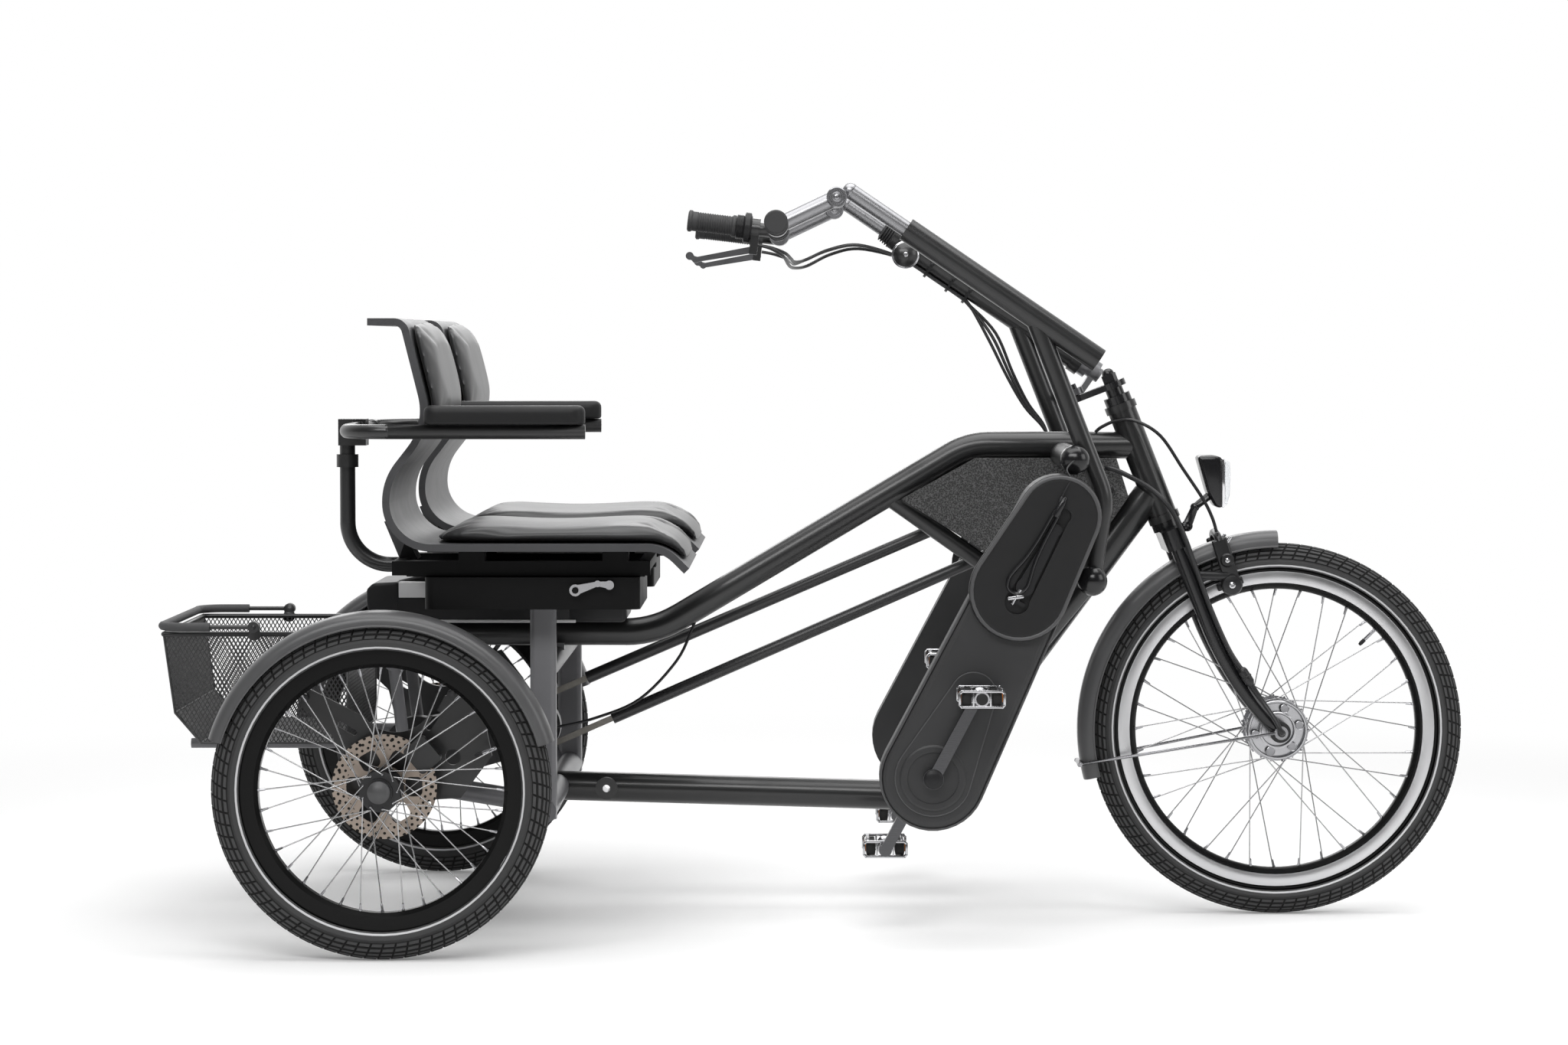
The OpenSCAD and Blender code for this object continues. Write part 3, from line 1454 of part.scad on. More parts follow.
// One armrest: an eye on the pin, a tube that bends forward and a pad on top
module armrest(s) {
  forward = arm_pad_x[1] - arm_pivot[0] - arm_bend_r;
  y_eye = 20 + seat_gap;
  color("#1d1d1f") translate([0, -rider_y, 0]) mirror([0, s > 0 ? 0 : 1, 0]) {
    difference() {
      union() {
        y_bar(arm_pivot, y_eye, arm_pin_y + 2, arm_r + 2);
        translate([arm_pivot[0], arm_pin_y, arm_pivot[1]]) rotate([-90, 0, 0])
          run([[arm_half - arm_bend_r - arm_pin_y, 0], [arm_bend_r, 90], [forward, 0]]) circle(arm_r);
      }
      y_bar(arm_pivot, 0, arm_pin_y + 0.2, arm_pin_r + run_gap);
    }
  }
  color("#262628") flat_pad(arm_pad_x, -rider_y + s * arm_half,
    arm_pivot[1] + arm_r + pad_gap, arm_pad_w / 2, 29);
}

// A straight pad with a crowned top
module flat_pad(x_range, y, z, half_w, t) {
  m = 15;
  n = 16;
  mid = (x_range[0] + x_range[1]) / 2;
  half_l = (x_range[1] - x_range[0]) / 2;
  rings = [
    for (i = [0:m - 1])
      let (x = -cos(180 * i / (m - 1)))
      for (q = pad_ring(half_w * end_ease(x, 8, 4), t * end_ease(x, 10, 4), n))
        [mid + half_l * x, y - q[0], z + q[1]]
  ];
  polyhedron(rings, loft_faces(m, n));
}

module outer_armrest() {
  place() armrest(-1);
}

module inner_armrest() {
  place() armrest(1);
}

module seat_lever() {
  y0 = -rider_y - base_w / 2;
  y_slab(y0 - 11, y0 - 2) difference() {
    union() {
      link_outline(lever_c, lever_c + [34, 10], 9, 5);
      link_outline(lever_c + [34, 10], lever_c + [52, 8], 5, 7);
    }
    translate(lever_c) circle(lever_pin_r + run_gap);
  }
}

module right_seat_lever() {
  color("#b9babc") place() seat_lever();
}

module left_seat_lever() {
  color("#b9babc") place() left_side() seat_lever();
}

// Luggage

basket_low_z = basket_top_z - basket_h;
basket_front_x = basket_rear_x + basket_l;
function basket_outline(i, top) = [
  [basket_rear_x + i, top], [basket_rear_x + 17 + i, basket_low_z + 48 + i / 2],
  [basket_rear_x + 58 + i / 2, basket_low_z + i], [basket_front_x - i, basket_low_z + i],
  [basket_front_x - i, top]
];

function basket_rear_at(z) = lookup(z, [
  [basket_low_z, basket_rear_x + 58], [basket_low_z + 48, basket_rear_x + 17], [basket_top_z, basket_rear_x]
]);

// One column of openings through the walls, counted down from the rim
module cells_down(x, y, size, from_z, count) {
  for (j = [0:count - 1]) let (z = from_z - j * cell_pitch)
    if (x - cell / 2 > basket_rear_at(z - cell / 2) + cell_edge || size[0] > cell)
      translate([x, y, z]) cube(size, center = true);
}

// Plain openings of the sides, both ends and the floor, where the real basket has a fine mesh
module basket_cells() {
  top = basket_top_z - cell_edge - cell / 2;
  near = basket_front_x - cell_edge - cell / 2;
  wall = 2 * cell;
  for (i = [0:6]) cells_down(near - i * cell_pitch, 0, [cell, basket_w + wall, cell], top, 4);
  for (k = [-cell_count:cell_count]) let (y = k * (cell_pitch - 1)) {
    cells_down(basket_front_x, y, [wall, cell, cell], top, 4);
    cells_down(basket_rear_x, y, [wall, cell, cell], top, 3);
    for (i = [0:cell_count]) translate([near - i * cell_pitch, y, basket_low_z])
      cube([cell, cell, wall], center = true);
  }
}

module basket() {
  half = basket_w / 2;
  color("#333336") place() {
    difference() {
      y_slab(-half, half) polygon(basket_outline(0, basket_top_z));
      y_slab(-half + basket_wall, half - basket_wall) polygon(basket_outline(basket_wall, basket_top_z + 1));
      basket_cells();
    }
    for (s = [-1, 1]) rod([basket_rear_x, s * half, basket_top_z],
      [basket_front_x, s * half, basket_top_z], rim_wire_r);
    for (x = [basket_rear_x, basket_front_x]) {
      rod([x, -half, basket_top_z], [x, half, basket_top_z], rim_wire_r);
      for (s = [-1, 1]) elbow([x, s * half, basket_top_z], rim_wire_r);
    }
    both_sides() {
      y_slab(-half - rim_wire_r - 1, -half) link_outline([bail_pivot[0], basket_top_z], bail_pivot, 10, 9);
      y_bar(bail_pivot, -bail_y - bail_eye_half, -half, bail_pin_r);
    }
  }
}

module basket_bail() {
  rear_x = basket_rear_x - bail_reach + bail_grip_d / 2;
  wire = [rear_x, bail_pivot[1]];
  color("#6d6e71") place() {
    both_sides() difference() {
      union() {
        y_bar(bail_pivot, -bail_y - bail_eye_half, -bail_y + bail_eye_half, 9);
        start_at([bail_pivot[0] - 6, bail_pivot[1]], -bail_y, 180)
          run([[bail_pivot[0] - 6 - rear_x - bail_bend_r, 0], [bail_bend_r, 90, 90], [40, 0]], wire_swell)
            circle(bail_wire_r);
      }
      y_bar(bail_pivot, -bail_y - 10, -bail_y + 10, bail_pin_r + run_gap);
    }
    y_bar(wire, -bail_y + bail_bend_r, bail_y - bail_bend_r, bail_grip_d / 2);
  }
}

main_frame();
gusset_plates();
right_rider_frame();
left_rider_frame();
rear_frame();
axle_plates();
axle_housing();
rear_fenders();
seat_bases();
battery();
chain_cases();
case_covers();
chain_tubes();
drive_chains();
passenger_stem();
passenger_bar();
control_cables();
front_cables();
cross_shaft();
gear_hub();
right_tyre();
right_rim();
right_hub();
left_tyre();
left_rim();
left_hub();
front_tyre();
front_rim();
front_hub();
fork();
front_fender();
headlight();
headlight_lens();
rim_brake();
driver_stem();
driver_bar();
driver_grips();
gear_shifter();
right_brake_lever();
left_brake_lever();
tie_rod();
right_crank();
left_crank();
right_outer_pedal();
right_inner_pedal();
left_inner_pedal();
left_outer_pedal();
right_seat_shell();
right_seat_pad();
right_back_pad();
left_seat_shell();
left_seat_pad();
left_back_pad();
armrest_post();
outer_armrest();
inner_armrest();
right_seat_lever();
left_seat_lever();
basket();
basket_bail();
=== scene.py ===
"""Two-seat side-by-side pedal tricycle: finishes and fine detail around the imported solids."""

import logging
import math
from collections.abc import Callable, Iterable
from dataclasses import dataclass, field
from enum import Enum
from functools import partial

import bmesh
import bpy
from bmesh.types import BMEdge, BMesh, BMVert
from bpy.types import Material, Mesh, Node, NodeSocket, NodeTree, Object, Scene, ShaderNodeTree
from mathutils import Matrix, Vector
from mathutils.bvhtree import BVHTree


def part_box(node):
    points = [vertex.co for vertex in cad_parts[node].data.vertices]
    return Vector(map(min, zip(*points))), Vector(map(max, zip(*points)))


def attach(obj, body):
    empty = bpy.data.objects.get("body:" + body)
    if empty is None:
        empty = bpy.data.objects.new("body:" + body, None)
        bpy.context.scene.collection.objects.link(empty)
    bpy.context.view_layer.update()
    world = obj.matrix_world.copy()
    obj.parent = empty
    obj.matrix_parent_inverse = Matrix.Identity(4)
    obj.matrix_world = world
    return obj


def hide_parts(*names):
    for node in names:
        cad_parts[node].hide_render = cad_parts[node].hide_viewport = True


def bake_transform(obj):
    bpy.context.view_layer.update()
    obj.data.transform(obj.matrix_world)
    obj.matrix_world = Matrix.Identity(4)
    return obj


LOG = logging.getLogger("tricycle")
MM = 0.001
ORIGIN_X = -662.25
TURN = 2 * math.pi
MERGE = 1e-6

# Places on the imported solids, in millimetres: X from the rear axle with Z above the ground, or Y alone.
# The column's lean is in degrees.
REAR_AXLE = (0.0, 258.0)
FRONT_AXLE = (1408.0, 303.5)
CRANK = (838.0, 260.0)
SHAFT = (1032.0, 665.0)
RELIEF_TOP = (900.0, 389.0)
COLUMN_LOW = (1097.0, 905.0)
COLUMN_LEAN = 34.2
WHEEL_Y = 480.0
RIDER_Y = 270.0

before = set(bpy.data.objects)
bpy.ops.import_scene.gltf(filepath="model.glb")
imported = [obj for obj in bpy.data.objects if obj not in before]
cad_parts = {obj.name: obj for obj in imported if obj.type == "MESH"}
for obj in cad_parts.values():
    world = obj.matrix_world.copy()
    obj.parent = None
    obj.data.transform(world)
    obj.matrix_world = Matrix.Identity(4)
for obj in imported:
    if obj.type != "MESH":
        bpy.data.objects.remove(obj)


def at(x: float, y: float, z: float) -> Vector:
    """Place in metres of a point given in millimetres from the rear axle.

    Args:
        x: Distance forward of the rear axle.
        y: Distance to the left of the middle plane.
        z: Height above the ground.

    Returns:
        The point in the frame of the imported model.
    """
    return Vector(((x + ORIGIN_X) * MM, y * MM, z * MM))


def heading(angle: float) -> Vector:
    """Unit vector in the XZ plane, its angle in degrees counted from +X towards +Z."""
    a = math.radians(angle)
    return Vector((math.cos(a), 0.0, math.sin(a)))


def facing(origin: Vector, axis: Vector) -> Matrix:
    """Matrix that turns local Z onto an axis and moves the origin to a place."""
    turn = Vector((0, 0, 1)).rotation_difference(axis).to_matrix().to_4x4()
    return Matrix.Translation(origin) @ turn


def column_axis() -> Vector:
    """Direction up and back along the driver's column."""
    a = math.radians(COLUMN_LEAN)
    return Vector((-math.cos(a), 0, math.sin(a)))


# Finishes


class Grain(Enum):
    """The relief that a finish carries."""

    SAND = "sand"
    PEBBLE = "pebble"
    BRUSH = "brush"
    FLECK = "fleck"


def new_group(name: str, inputs: dict[str, object], outputs: dict[str, str]) -> ShaderNodeTree:
    """Starts a shader node group with named sockets.

    Args:
        name: Name of the group.
        inputs: Default value of each input; a tuple of four is a colour, of three a vector.
        outputs: Socket type of each output.

    Returns:
        The group, with its input and output nodes named In and Out.
    """
    group = bpy.data.node_groups.new(name, "ShaderNodeTree")
    for key, value in inputs.items():
        if isinstance(value, tuple):
            kind = "NodeSocketColor" if len(value) == 4 else "NodeSocketVector"
        else:
            kind = "NodeSocketFloat"
        socket = group.interface.new_socket(key, in_out="INPUT", socket_type=kind)
        socket.default_value = value
    for key, kind in outputs.items():
        group.interface.new_socket(key, in_out="OUTPUT", socket_type=kind)
    group.nodes.new("NodeGroupInput").name = "In"
    group.nodes.new("NodeGroupOutput").name = "Out"
    return group


def relief_group(name: str, scale: float) -> ShaderNodeTree:
    """Starts a node group that turns a place and a scale into a height."""
    return new_group(name, {"Vector": (0.0, 0.0, 0.0), "Scale": scale}, {"Height": "NodeSocketFloat"})


def texture_node(group: ShaderNodeTree, kind: str) -> Node:
    """Adds a texture that takes a group's place and scale.

    Args:
        group: The node group.
        kind: The texture's node type.

    Returns:
        The texture's node.
    """
    node = group.nodes.new(kind)
    for key in ("Vector", "Scale"):
        group.links.new(group.nodes["In"].outputs[key], node.inputs[key])
    return node


def math_node(tree: NodeTree, kind: str, *values: NodeSocket | float) -> NodeSocket:
    """Adds one math node.

    Args:
        tree: The node tree that takes it.
        kind: Its operation.
        values: The sockets or numbers that it works on.

    Returns:
        Its output.
    """
    node = tree.nodes.new("ShaderNodeMath")
    node.operation = kind
    for socket, value in zip(node.inputs, values):
        if isinstance(value, float):
            socket.default_value = value
        else:
            tree.links.new(value, socket)
    return node.outputs[0]


def set_inputs(node: Node, values: dict[str, object]) -> None:
    """Sets constant inputs of a node.

    Args:
        node: The node.
        values: The value of each named input.
    """
    for key, value in values.items():
        node.inputs[key].default_value = value


class Effects:
    """Shader node groups that the finishes share, each built once."""

    def __init__(self) -> None:
        """Builds the groups."""
        self.mottle = self._mottle()
        self.relief = {
            Grain.SAND: self._sand(),
            Grain.PEBBLE: self._pebble(),
            Grain.BRUSH: self._brush(),
            Grain.FLECK: self._fleck(),
        }

    @staticmethod
    def _mottle() -> ShaderNodeTree:
        """Colour and gloss that drift a little over the surface.

        Returns:
            The group.
        """
        group = new_group(
            "mottle",
            {"Vector": (0.0, 0.0, 0.0), "Color": (0.5, 0.5, 0.5, 1.0), "Roughness": 0.5, "Drift": 0.1,
             "Gloss Drift": 0.1, "Scale": 30.0},
            {"Color": "NodeSocketColor", "Roughness": "NodeSocketFloat"},
        )
        link = group.links.new
        source, out = group.nodes["In"].outputs, group.nodes["Out"].inputs
        broad = texture_node(group, "ShaderNodeTexNoise")
        broad.inputs["Detail"].default_value = 5.0
        centred = math_node(group, "SUBTRACT", broad.outputs["Fac"], 0.5)
        tone = math_node(group, "MULTIPLY_ADD", centred, source["Drift"], 1.0)
        tint = group.nodes.new("ShaderNodeVectorMath")
        tint.operation = "SCALE"
        link(source["Color"], tint.inputs[0])
        link(tone, tint.inputs["Scale"])
        link(tint.outputs[0], out["Color"])
        gloss = math_node(group, "MULTIPLY_ADD", centred, source["Gloss Drift"], source["Roughness"])
        gloss.node.use_clamp = True
        link(gloss, out["Roughness"])
        return group

    @staticmethod
    def _sand() -> ShaderNodeTree:
        """Fine even roughness, as on powder coat and moulded plastic.

        Returns:
            The group.
        """
        group = relief_group("sand_relief", 900.0)
        noise = texture_node(group, "ShaderNodeTexNoise")
        noise.inputs["Detail"].default_value = 3.0
        group.links.new(noise.outputs["Fac"], group.nodes["Out"].inputs["Height"])
        return group

    @staticmethod
    def _pebble() -> ShaderNodeTree:
        """The small rounded cells of embossed vinyl.

        Returns:
            The group.
        """
        group = relief_group("pebble_relief", 500.0)
        cells = texture_node(group, "ShaderNodeTexVoronoi")
        cells.feature = "SMOOTH_F1"
        cells.inputs["Smoothness"].default_value = 0.6
        flip = math_node(group, "SUBTRACT", 1.0, cells.outputs["Distance"])
        group.links.new(flip, group.nodes["Out"].inputs["Height"])
        return group

    @staticmethod
    def _brush() -> ShaderNodeTree:
        """Long scratches along X, as on drawn and brushed metal.

        Returns:
            The group.
        """
        group = relief_group("brush_relief", 600.0)
        link = group.links.new
        noise = texture_node(group, "ShaderNodeTexNoise")
        noise.inputs["Detail"].default_value = 2.0
        stretch = group.nodes.new("ShaderNodeVectorMath")
        stretch.operation = "MULTIPLY"
        stretch.inputs[1].default_value = (0.06, 1.0, 1.0)
        link(group.nodes["In"].outputs["Vector"], stretch.inputs[0])
        link(stretch.outputs[0], noise.inputs["Vector"])
        link(noise.outputs["Fac"], group.nodes["Out"].inputs["Height"])
        return group

    @staticmethod
    def _fleck() -> ShaderNodeTree:
        """Coarse crumbs, as on an anti-slip mat.

        Returns:
            The group.
        """
        group = relief_group("fleck_relief", 300.0)
        cells = texture_node(group, "ShaderNodeTexVoronoi")
        noise = texture_node(group, "ShaderNodeTexNoise")
        noise.inputs["Detail"].default_value = 4.0
        crumbs = math_node(group, "MULTIPLY", cells.outputs["Distance"], noise.outputs["Fac"])
        group.links.new(crumbs, group.nodes["Out"].inputs["Height"])
        return group


EFFECTS = Effects()


@dataclass(frozen=True)
class Finish:
    """A procedural surface finish, written as the shader's own values."""

    name: str
    slot: str
    color: tuple[float, float, float]
    roughness: float = 0.5
    metallic: float = 0.0
    coat: float = 0.0
    specular: float = 0.5
    sheen: float = 0.0
    grain: Grain = Grain.SAND
    scale: float = 900.0
    relief: float = 0.1
    drift: float = 0.15
    gloss_drift: float = 0.12
    patch: float = 25.0
    fleck: float = 0.0
    transmission: float = 0.0

    def material(self) -> Material:
        """Builds the material, or gives the one already built.

        Returns:
            The material of this finish.
        """
        known = bpy.data.materials.get(self.name)
        if known:
            return known
        material = bpy.data.materials.new(self.name)
        material.use_nodes = True
        material.diffuse_color = (*self.color, 1.0)
        tree = material.node_tree
        shader = tree.nodes["Principled BSDF"]
        set_inputs(shader, {
            "Metallic": self.metallic, "Coat Weight": self.coat, "Coat Roughness": 0.12,
            "Specular IOR Level": self.specular, "Sheen Weight": self.sheen, "Sheen Roughness": 0.4,
            "Transmission Weight": self.transmission})
        self._dress(tree, shader)
        return material

    def _dress(self, tree: NodeTree, shader: Node) -> None:
        """Adds the drift of colour and gloss, and the relief.

        Args:
            tree: The material's node tree.
            shader: Its Principled BSDF.
        """
        place = tree.nodes.new("ShaderNodeTexCoord")
        drift = tree.nodes.new("ShaderNodeGroup")
        drift.node_tree = EFFECTS.mottle
        set_inputs(drift, {"Color": (*self.color, 1.0), "Roughness": self.roughness, "Drift": self.drift,
                           "Gloss Drift": self.gloss_drift, "Scale": self.patch})
        relief = tree.nodes.new("ShaderNodeGroup")
        relief.node_tree = EFFECTS.relief[self.grain]
        relief.inputs["Scale"].default_value = self.scale
        bump = tree.nodes.new("ShaderNodeBump")
        set_inputs(bump, {"Strength": self.relief, "Distance": 0.0006})
        link = tree.links.new
        link(place.outputs["Object"], drift.inputs["Vector"])
        link(place.outputs["Object"], relief.inputs["Vector"])
        link(drift.outputs["Roughness"], shader.inputs["Roughness"])
        link(relief.outputs["Height"], bump.inputs["Height"])
        link(bump.outputs["Normal"], shader.inputs["Normal"])
        if self.fleck:
            spots = tree.nodes.new("ShaderNodeMapRange")
            set_inputs(spots, {"From Min": 0.12, "From Max": 0.42, "To Max": self.fleck})
            blend = tree.nodes.new("ShaderNodeMix")
            blend.data_type = "RGBA"
            blend.inputs["B"].default_value = (0.22, 0.22, 0.22, 1.0)
            link(relief.outputs["Height"], spots.inputs["Value"])
            link(spots.outputs["Result"], blend.inputs["Factor"])
            link(drift.outputs["Color"], blend.inputs["A"])
            link(blend.outputs["Result"], shader.inputs["Base Color"])
        else:
            link(drift.outputs["Color"], shader.inputs["Base Color"])


@dataclass(frozen=True)
class DrilledFinish(Finish):
    """A ground brake disc with staggered rows of small holes round its axle, painted on as dark spots of
    painted shade.
    """

    centre: tuple[float, float] = REAR_AXLE
    holes: int = 40
    row: float = 7.5
    inner: float = 57.0

    def _dress(self, tree: NodeTree, shader: Node) -> None:
        """Paints the holes on the plain finish as dark spots: painted shade, with no holes cut.

        Args:
            tree: The material's node tree.
            shader: Its Principled BSDF.
        """
        super()._dress(tree, shader)
        link = tree.links.new
        plain = shader.inputs["Base Color"].links[0].from_socket
        step = partial(math_node, tree)
        place = tree.nodes.new("ShaderNodeTexCoord")
        moved = tree.nodes.new("ShaderNodeMapping")
        moved.inputs["Location"].default_value = -at(self.centre[0], 0.0, self.centre[1])
        axes = tree.nodes.new("ShaderNodeSeparateXYZ")
        link(place.outputs["Object"], moved.inputs["Vector"])
        link(moved.outputs["Vector"], axes.inputs[0])
        x, z = axes.outputs["X"], axes.outputs["Z"]
        radius = step("SQRT", step("ADD", step("MULTIPLY", x, x), step("MULTIPLY", z, z)))
        rows = step("DIVIDE", radius, self.row * MM)
        turn = step("MULTIPLY", step("ARCTAN2", z, x), self.holes / TURN)
        turn = step("ADD", turn, step("MULTIPLY", step("FLOOR", rows), 0.5))
        u = step("SUBTRACT", step("FRACT", turn), 0.5)
        w = step("SUBTRACT", step("FRACT", rows), 0.5)
        near = step("ADD", step("MULTIPLY", step("MULTIPLY", u, u), 1.7), step("MULTIPLY", w, w))
        hole_shade = step("LESS_THAN", near, 0.075)
        ring = step("GREATER_THAN", radius, self.inner * MM)
        # The holes are painted shade: near-black spots in rows beyond the inner radius.
        blend = tree.nodes.new("ShaderNodeMix")
        blend.data_type = "RGBA"
        blend.inputs["B"].default_value = (0.015, 0.014, 0.013, 1.0)
        link(step("MULTIPLY", hole_shade, ring), blend.inputs["Factor"])
        link(plain, blend.inputs["A"])
        link(blend.outputs["Result"], shader.inputs["Base Color"])


FRAME_PAINT = Finish("frame_paint", "frame_black", (0.013, 0.013, 0.0134), 0.34, coat=0.25, scale=1400,
                     relief=0.004)
# Near-black copy of the frame paint: the bases' own black, darkened further as painted shade under the seats.
BASE_PAINT_AND_SHADE = Finish("base_paint_and_shade", "frame_black", (0.005, 0.005, 0.0052), 0.45, specular=0.14, scale=1400,
                    relief=0.06)
GREY_PAINT = Finish("grey_paint", "frame_grey", (0.16, 0.16, 0.168), 0.38, coat=0.1, scale=1400, relief=0.06)
FORK_PAINT = Finish("fork_paint", "fork_black", (0.008, 0.008, 0.009), 0.24, coat=0.2, specular=0.4,
                    scale=1400, relief=0.03)
SHELL_PLASTIC = Finish("shell_plastic", "shell_grey", (0.05, 0.05, 0.053), 0.44, scale=1100, relief=0.14)
CASE_PLASTIC = Finish("case_plastic_skin", "case_plastic", (0.026, 0.026, 0.027), 0.47, scale=1200,
                      relief=0.22)
FENDER_SKIN = Finish("fender_skin", "fender_plastic", (0.085, 0.085, 0.087), 0.34, scale=1200, relief=0.03)
BLACK_PLASTIC = Finish("black_plastic_skin", "black_plastic", (0.012, 0.012, 0.013), 0.42, specular=0.3,
                       scale=1100, relief=0.16)
GUSSET_MAT = Finish("gusset_mat_skin", "gusset_mat", (0.012, 0.012, 0.012), 0.8, grain=Grain.FLECK, scale=460,
                    relief=0.9, fleck=0.45, drift=0.5)
PAD_VINYL = Finish("pad_vinyl_skin", "pad_vinyl", (0.03, 0.03, 0.031), 0.4, grain=Grain.PEBBLE, scale=620,
                   relief=0.1, sheen=0.08, drift=0.2, patch=9)
COVER_PLASTIC = Finish("cover_plastic_skin", "case_plastic", (0.014, 0.014, 0.0145), 0.42, specular=0.3,
                       scale=1200, relief=0.16)
# A paler copy of the case plastic; on the beads of the chain cases the paleness is a painted highlight.
CASE_EDGE = Finish("case_edge_skin", "case_plastic", (0.07, 0.07, 0.072), 0.42, scale=1200, relief=0.16)
TUBE_PLASTIC = Finish("tube_plastic", "black_plastic", (0.03, 0.03, 0.031), 0.36, scale=1200, relief=0.004)
PITCH_RUBBER = Finish("pitch_rubber", "black_plastic", (0.004, 0.004, 0.004), 0.6, scale=1500, relief=0.2)
CRANK_ALLOY = Finish("crank_alloy", "dark_steel", (0.1, 0.1, 0.104), 0.22, 1.0, grain=Grain.BRUSH,
                     relief=0.06)
ARM_SKIN = Finish("arm_skin", "pad_vinyl", (0.009, 0.009, 0.0095), 0.52, specular=0.28, grain=Grain.PEBBLE,
                  scale=900, relief=0.14)
GRIP_RUBBER = Finish("grip_rubber_skin", "grip_rubber", (0.03, 0.03, 0.031), 0.62, scale=1500, relief=0.25)
TYRE_RUBBER = Finish("tyre_rubber_skin", "tyre_rubber", (0.036, 0.036, 0.0367), 0.58, scale=1500, relief=0.3,
                     drift=0.3)
TREAD_RUBBER = Finish("tread_rubber_skin", "tyre_rubber", (0.052, 0.052, 0.053), 0.66, scale=1500,
                      relief=0.35, drift=0.35)
# Near-black rubber for the sides of the tread blocks: painted shade in the grooves.
GROOVE_SHADE = Finish("groove_shade", "tyre_rubber", (0.009, 0.009, 0.009), 0.8, scale=1500, relief=0.3)
REFLEX_BAND = Finish("reflex_band", "rim_silver", (0.62, 0.62, 0.63), 0.35, scale=2500, relief=0.2)
RIM_BLACK = Finish("rim_black_skin", "rim_black", (0.006, 0.006, 0.006), 0.22, coat=0.06, specular=0.12,
                   scale=1500, relief=0.01)
RIM_TRACK = Finish("rim_track", "rim_silver", (0.62, 0.62, 0.63), 0.3, 1.0, grain=Grain.BRUSH, relief=0.006)
ALLOY = Finish("alloy_polished", "polished_alloy", (0.52, 0.52, 0.535), 0.22, 1.0, grain=Grain.BRUSH,
               relief=0.012, drift=0.06)
STEM_ALLOY = Finish("stem_alloy", "polished_alloy", (0.3, 0.3, 0.31), 0.34, 1.0, scale=300, relief=0.0,
                    drift=0.05)
RAIL_SILVER = Finish("rail_silver", "polished_alloy", (0.7, 0.7, 0.705), 0.42, scale=1400, relief=0.02,
                     drift=0.05)
ALLOY_SATIN = Finish("alloy_satin", "polished_alloy", (0.36, 0.36, 0.373), 0.27, 1.0, grain=Grain.BRUSH,
                     relief=0.015, drift=0.08)
SPOKE_STEEL = Finish("spoke_steel", "polished_alloy", (0.42, 0.42, 0.425), 0.26, 1.0, grain=Grain.BRUSH,
                     relief=0.004)
DARK_STEEL = Finish("dark_steel_skin", "dark_steel", (0.13, 0.13, 0.135), 0.36, 1.0, grain=Grain.BRUSH,
                    relief=0.08)
BLACK_STEEL = Finish("black_steel", "dark_steel", (0.035, 0.035, 0.036), 0.34, 0.6, scale=1500, relief=0.06)
CHAIN_STEEL = Finish("chain_oiled", "chain_steel", (0.22, 0.21, 0.19), 0.33, 1.0, grain=Grain.BRUSH,
                     relief=0.05, drift=0.4, patch=120)
CABLE_SKIN = Finish("cable_skin", "cable_black", (0.011, 0.011, 0.012), 0.4, scale=2000, relief=0.05)
BASKET_COAT = Finish("basket_coat", "basket_wire", (0.028, 0.028, 0.029), 0.42, coat=0.1, scale=2000,
                     relief=0.08)
FOAM_GRIP = Finish("foam_grip", "grip_rubber", (0.07, 0.07, 0.072), 0.75, grain=Grain.PEBBLE, scale=1300,
                   relief=0.4)
DISC_STEEL = DrilledFinish("disc_ground", "disc_steel", (0.40, 0.335, 0.285), 0.38, 0.85, grain=Grain.BRUSH,
                           relief=0.1)
AMBER_REFLEX = Finish("amber_reflex", "lens_clear", (0.55, 0.16, 0.01), 0.15, coat=0.8, grain=Grain.PEBBLE,
                      scale=420, relief=0.5)
LAMP_CHROME = Finish("lamp_chrome", "polished_alloy", (0.86, 0.86, 0.88), 0.08, 1.0, relief=0.01)
LAMP_GLASS = Finish("lamp_glass", "lens_clear", (0.93, 0.95, 0.97), 0.06, scale=200, relief=0.02,
                    drift=0.02, gloss_drift=0.02, transmission=0.85)


# Meshes


def join(target: BMesh, part: BMesh, place: Matrix | None = None) -> None:
    """Moves a part into another mesh and frees it.

    Args:
        target: The mesh that takes the part.
        part: The part.
        place: Where the part goes.
    """
    if place is not None:
        bmesh.ops.transform(part, matrix=place, verts=part.verts)
        if place.determinant() < 0:
            bmesh.ops.reverse_faces(part, faces=part.faces)
    buffer = bpy.data.meshes.new("part")
    part.to_mesh(buffer)
    part.free()
    target.from_mesh(buffer)
    bpy.data.meshes.remove(buffer)


def outwards(bm: BMesh) -> None:
    """Turns all faces of a mesh outwards."""
    bmesh.ops.recalc_face_normals(bm, faces=bm.faces)


def lathe(profile: list[tuple[float, float]], steps: int = 32, skew: list[float] | None = None) -> BMesh:
    """Spins a profile round local Z.

    Args:
        profile: Radius and height of each point, in millimetres.
        steps: Steps of the full turn.
        skew: Turn of each point round the axis, in radians.

    Returns:
        The closed or open shell, its faces outwards.
    """
    bm = bmesh.new()
    verts = []
    for i, (r, z) in enumerate(profile):
        a = skew[i] if skew else 0.0
        verts.append(bm.verts.new((r * MM * math.cos(a), r * MM * math.sin(a), z * MM)))
    edges = [bm.edges.new(pair) for pair in zip(verts, verts[1:])]
    bmesh.ops.spin(bm, geom=verts + edges, cent=(0, 0, 0), axis=(0, 0, 1), angle=TURN, steps=steps,
                   use_merge=True)
    bmesh.ops.remove_doubles(bm, verts=bm.verts, dist=MERGE)
    outwards(bm)
    return bm


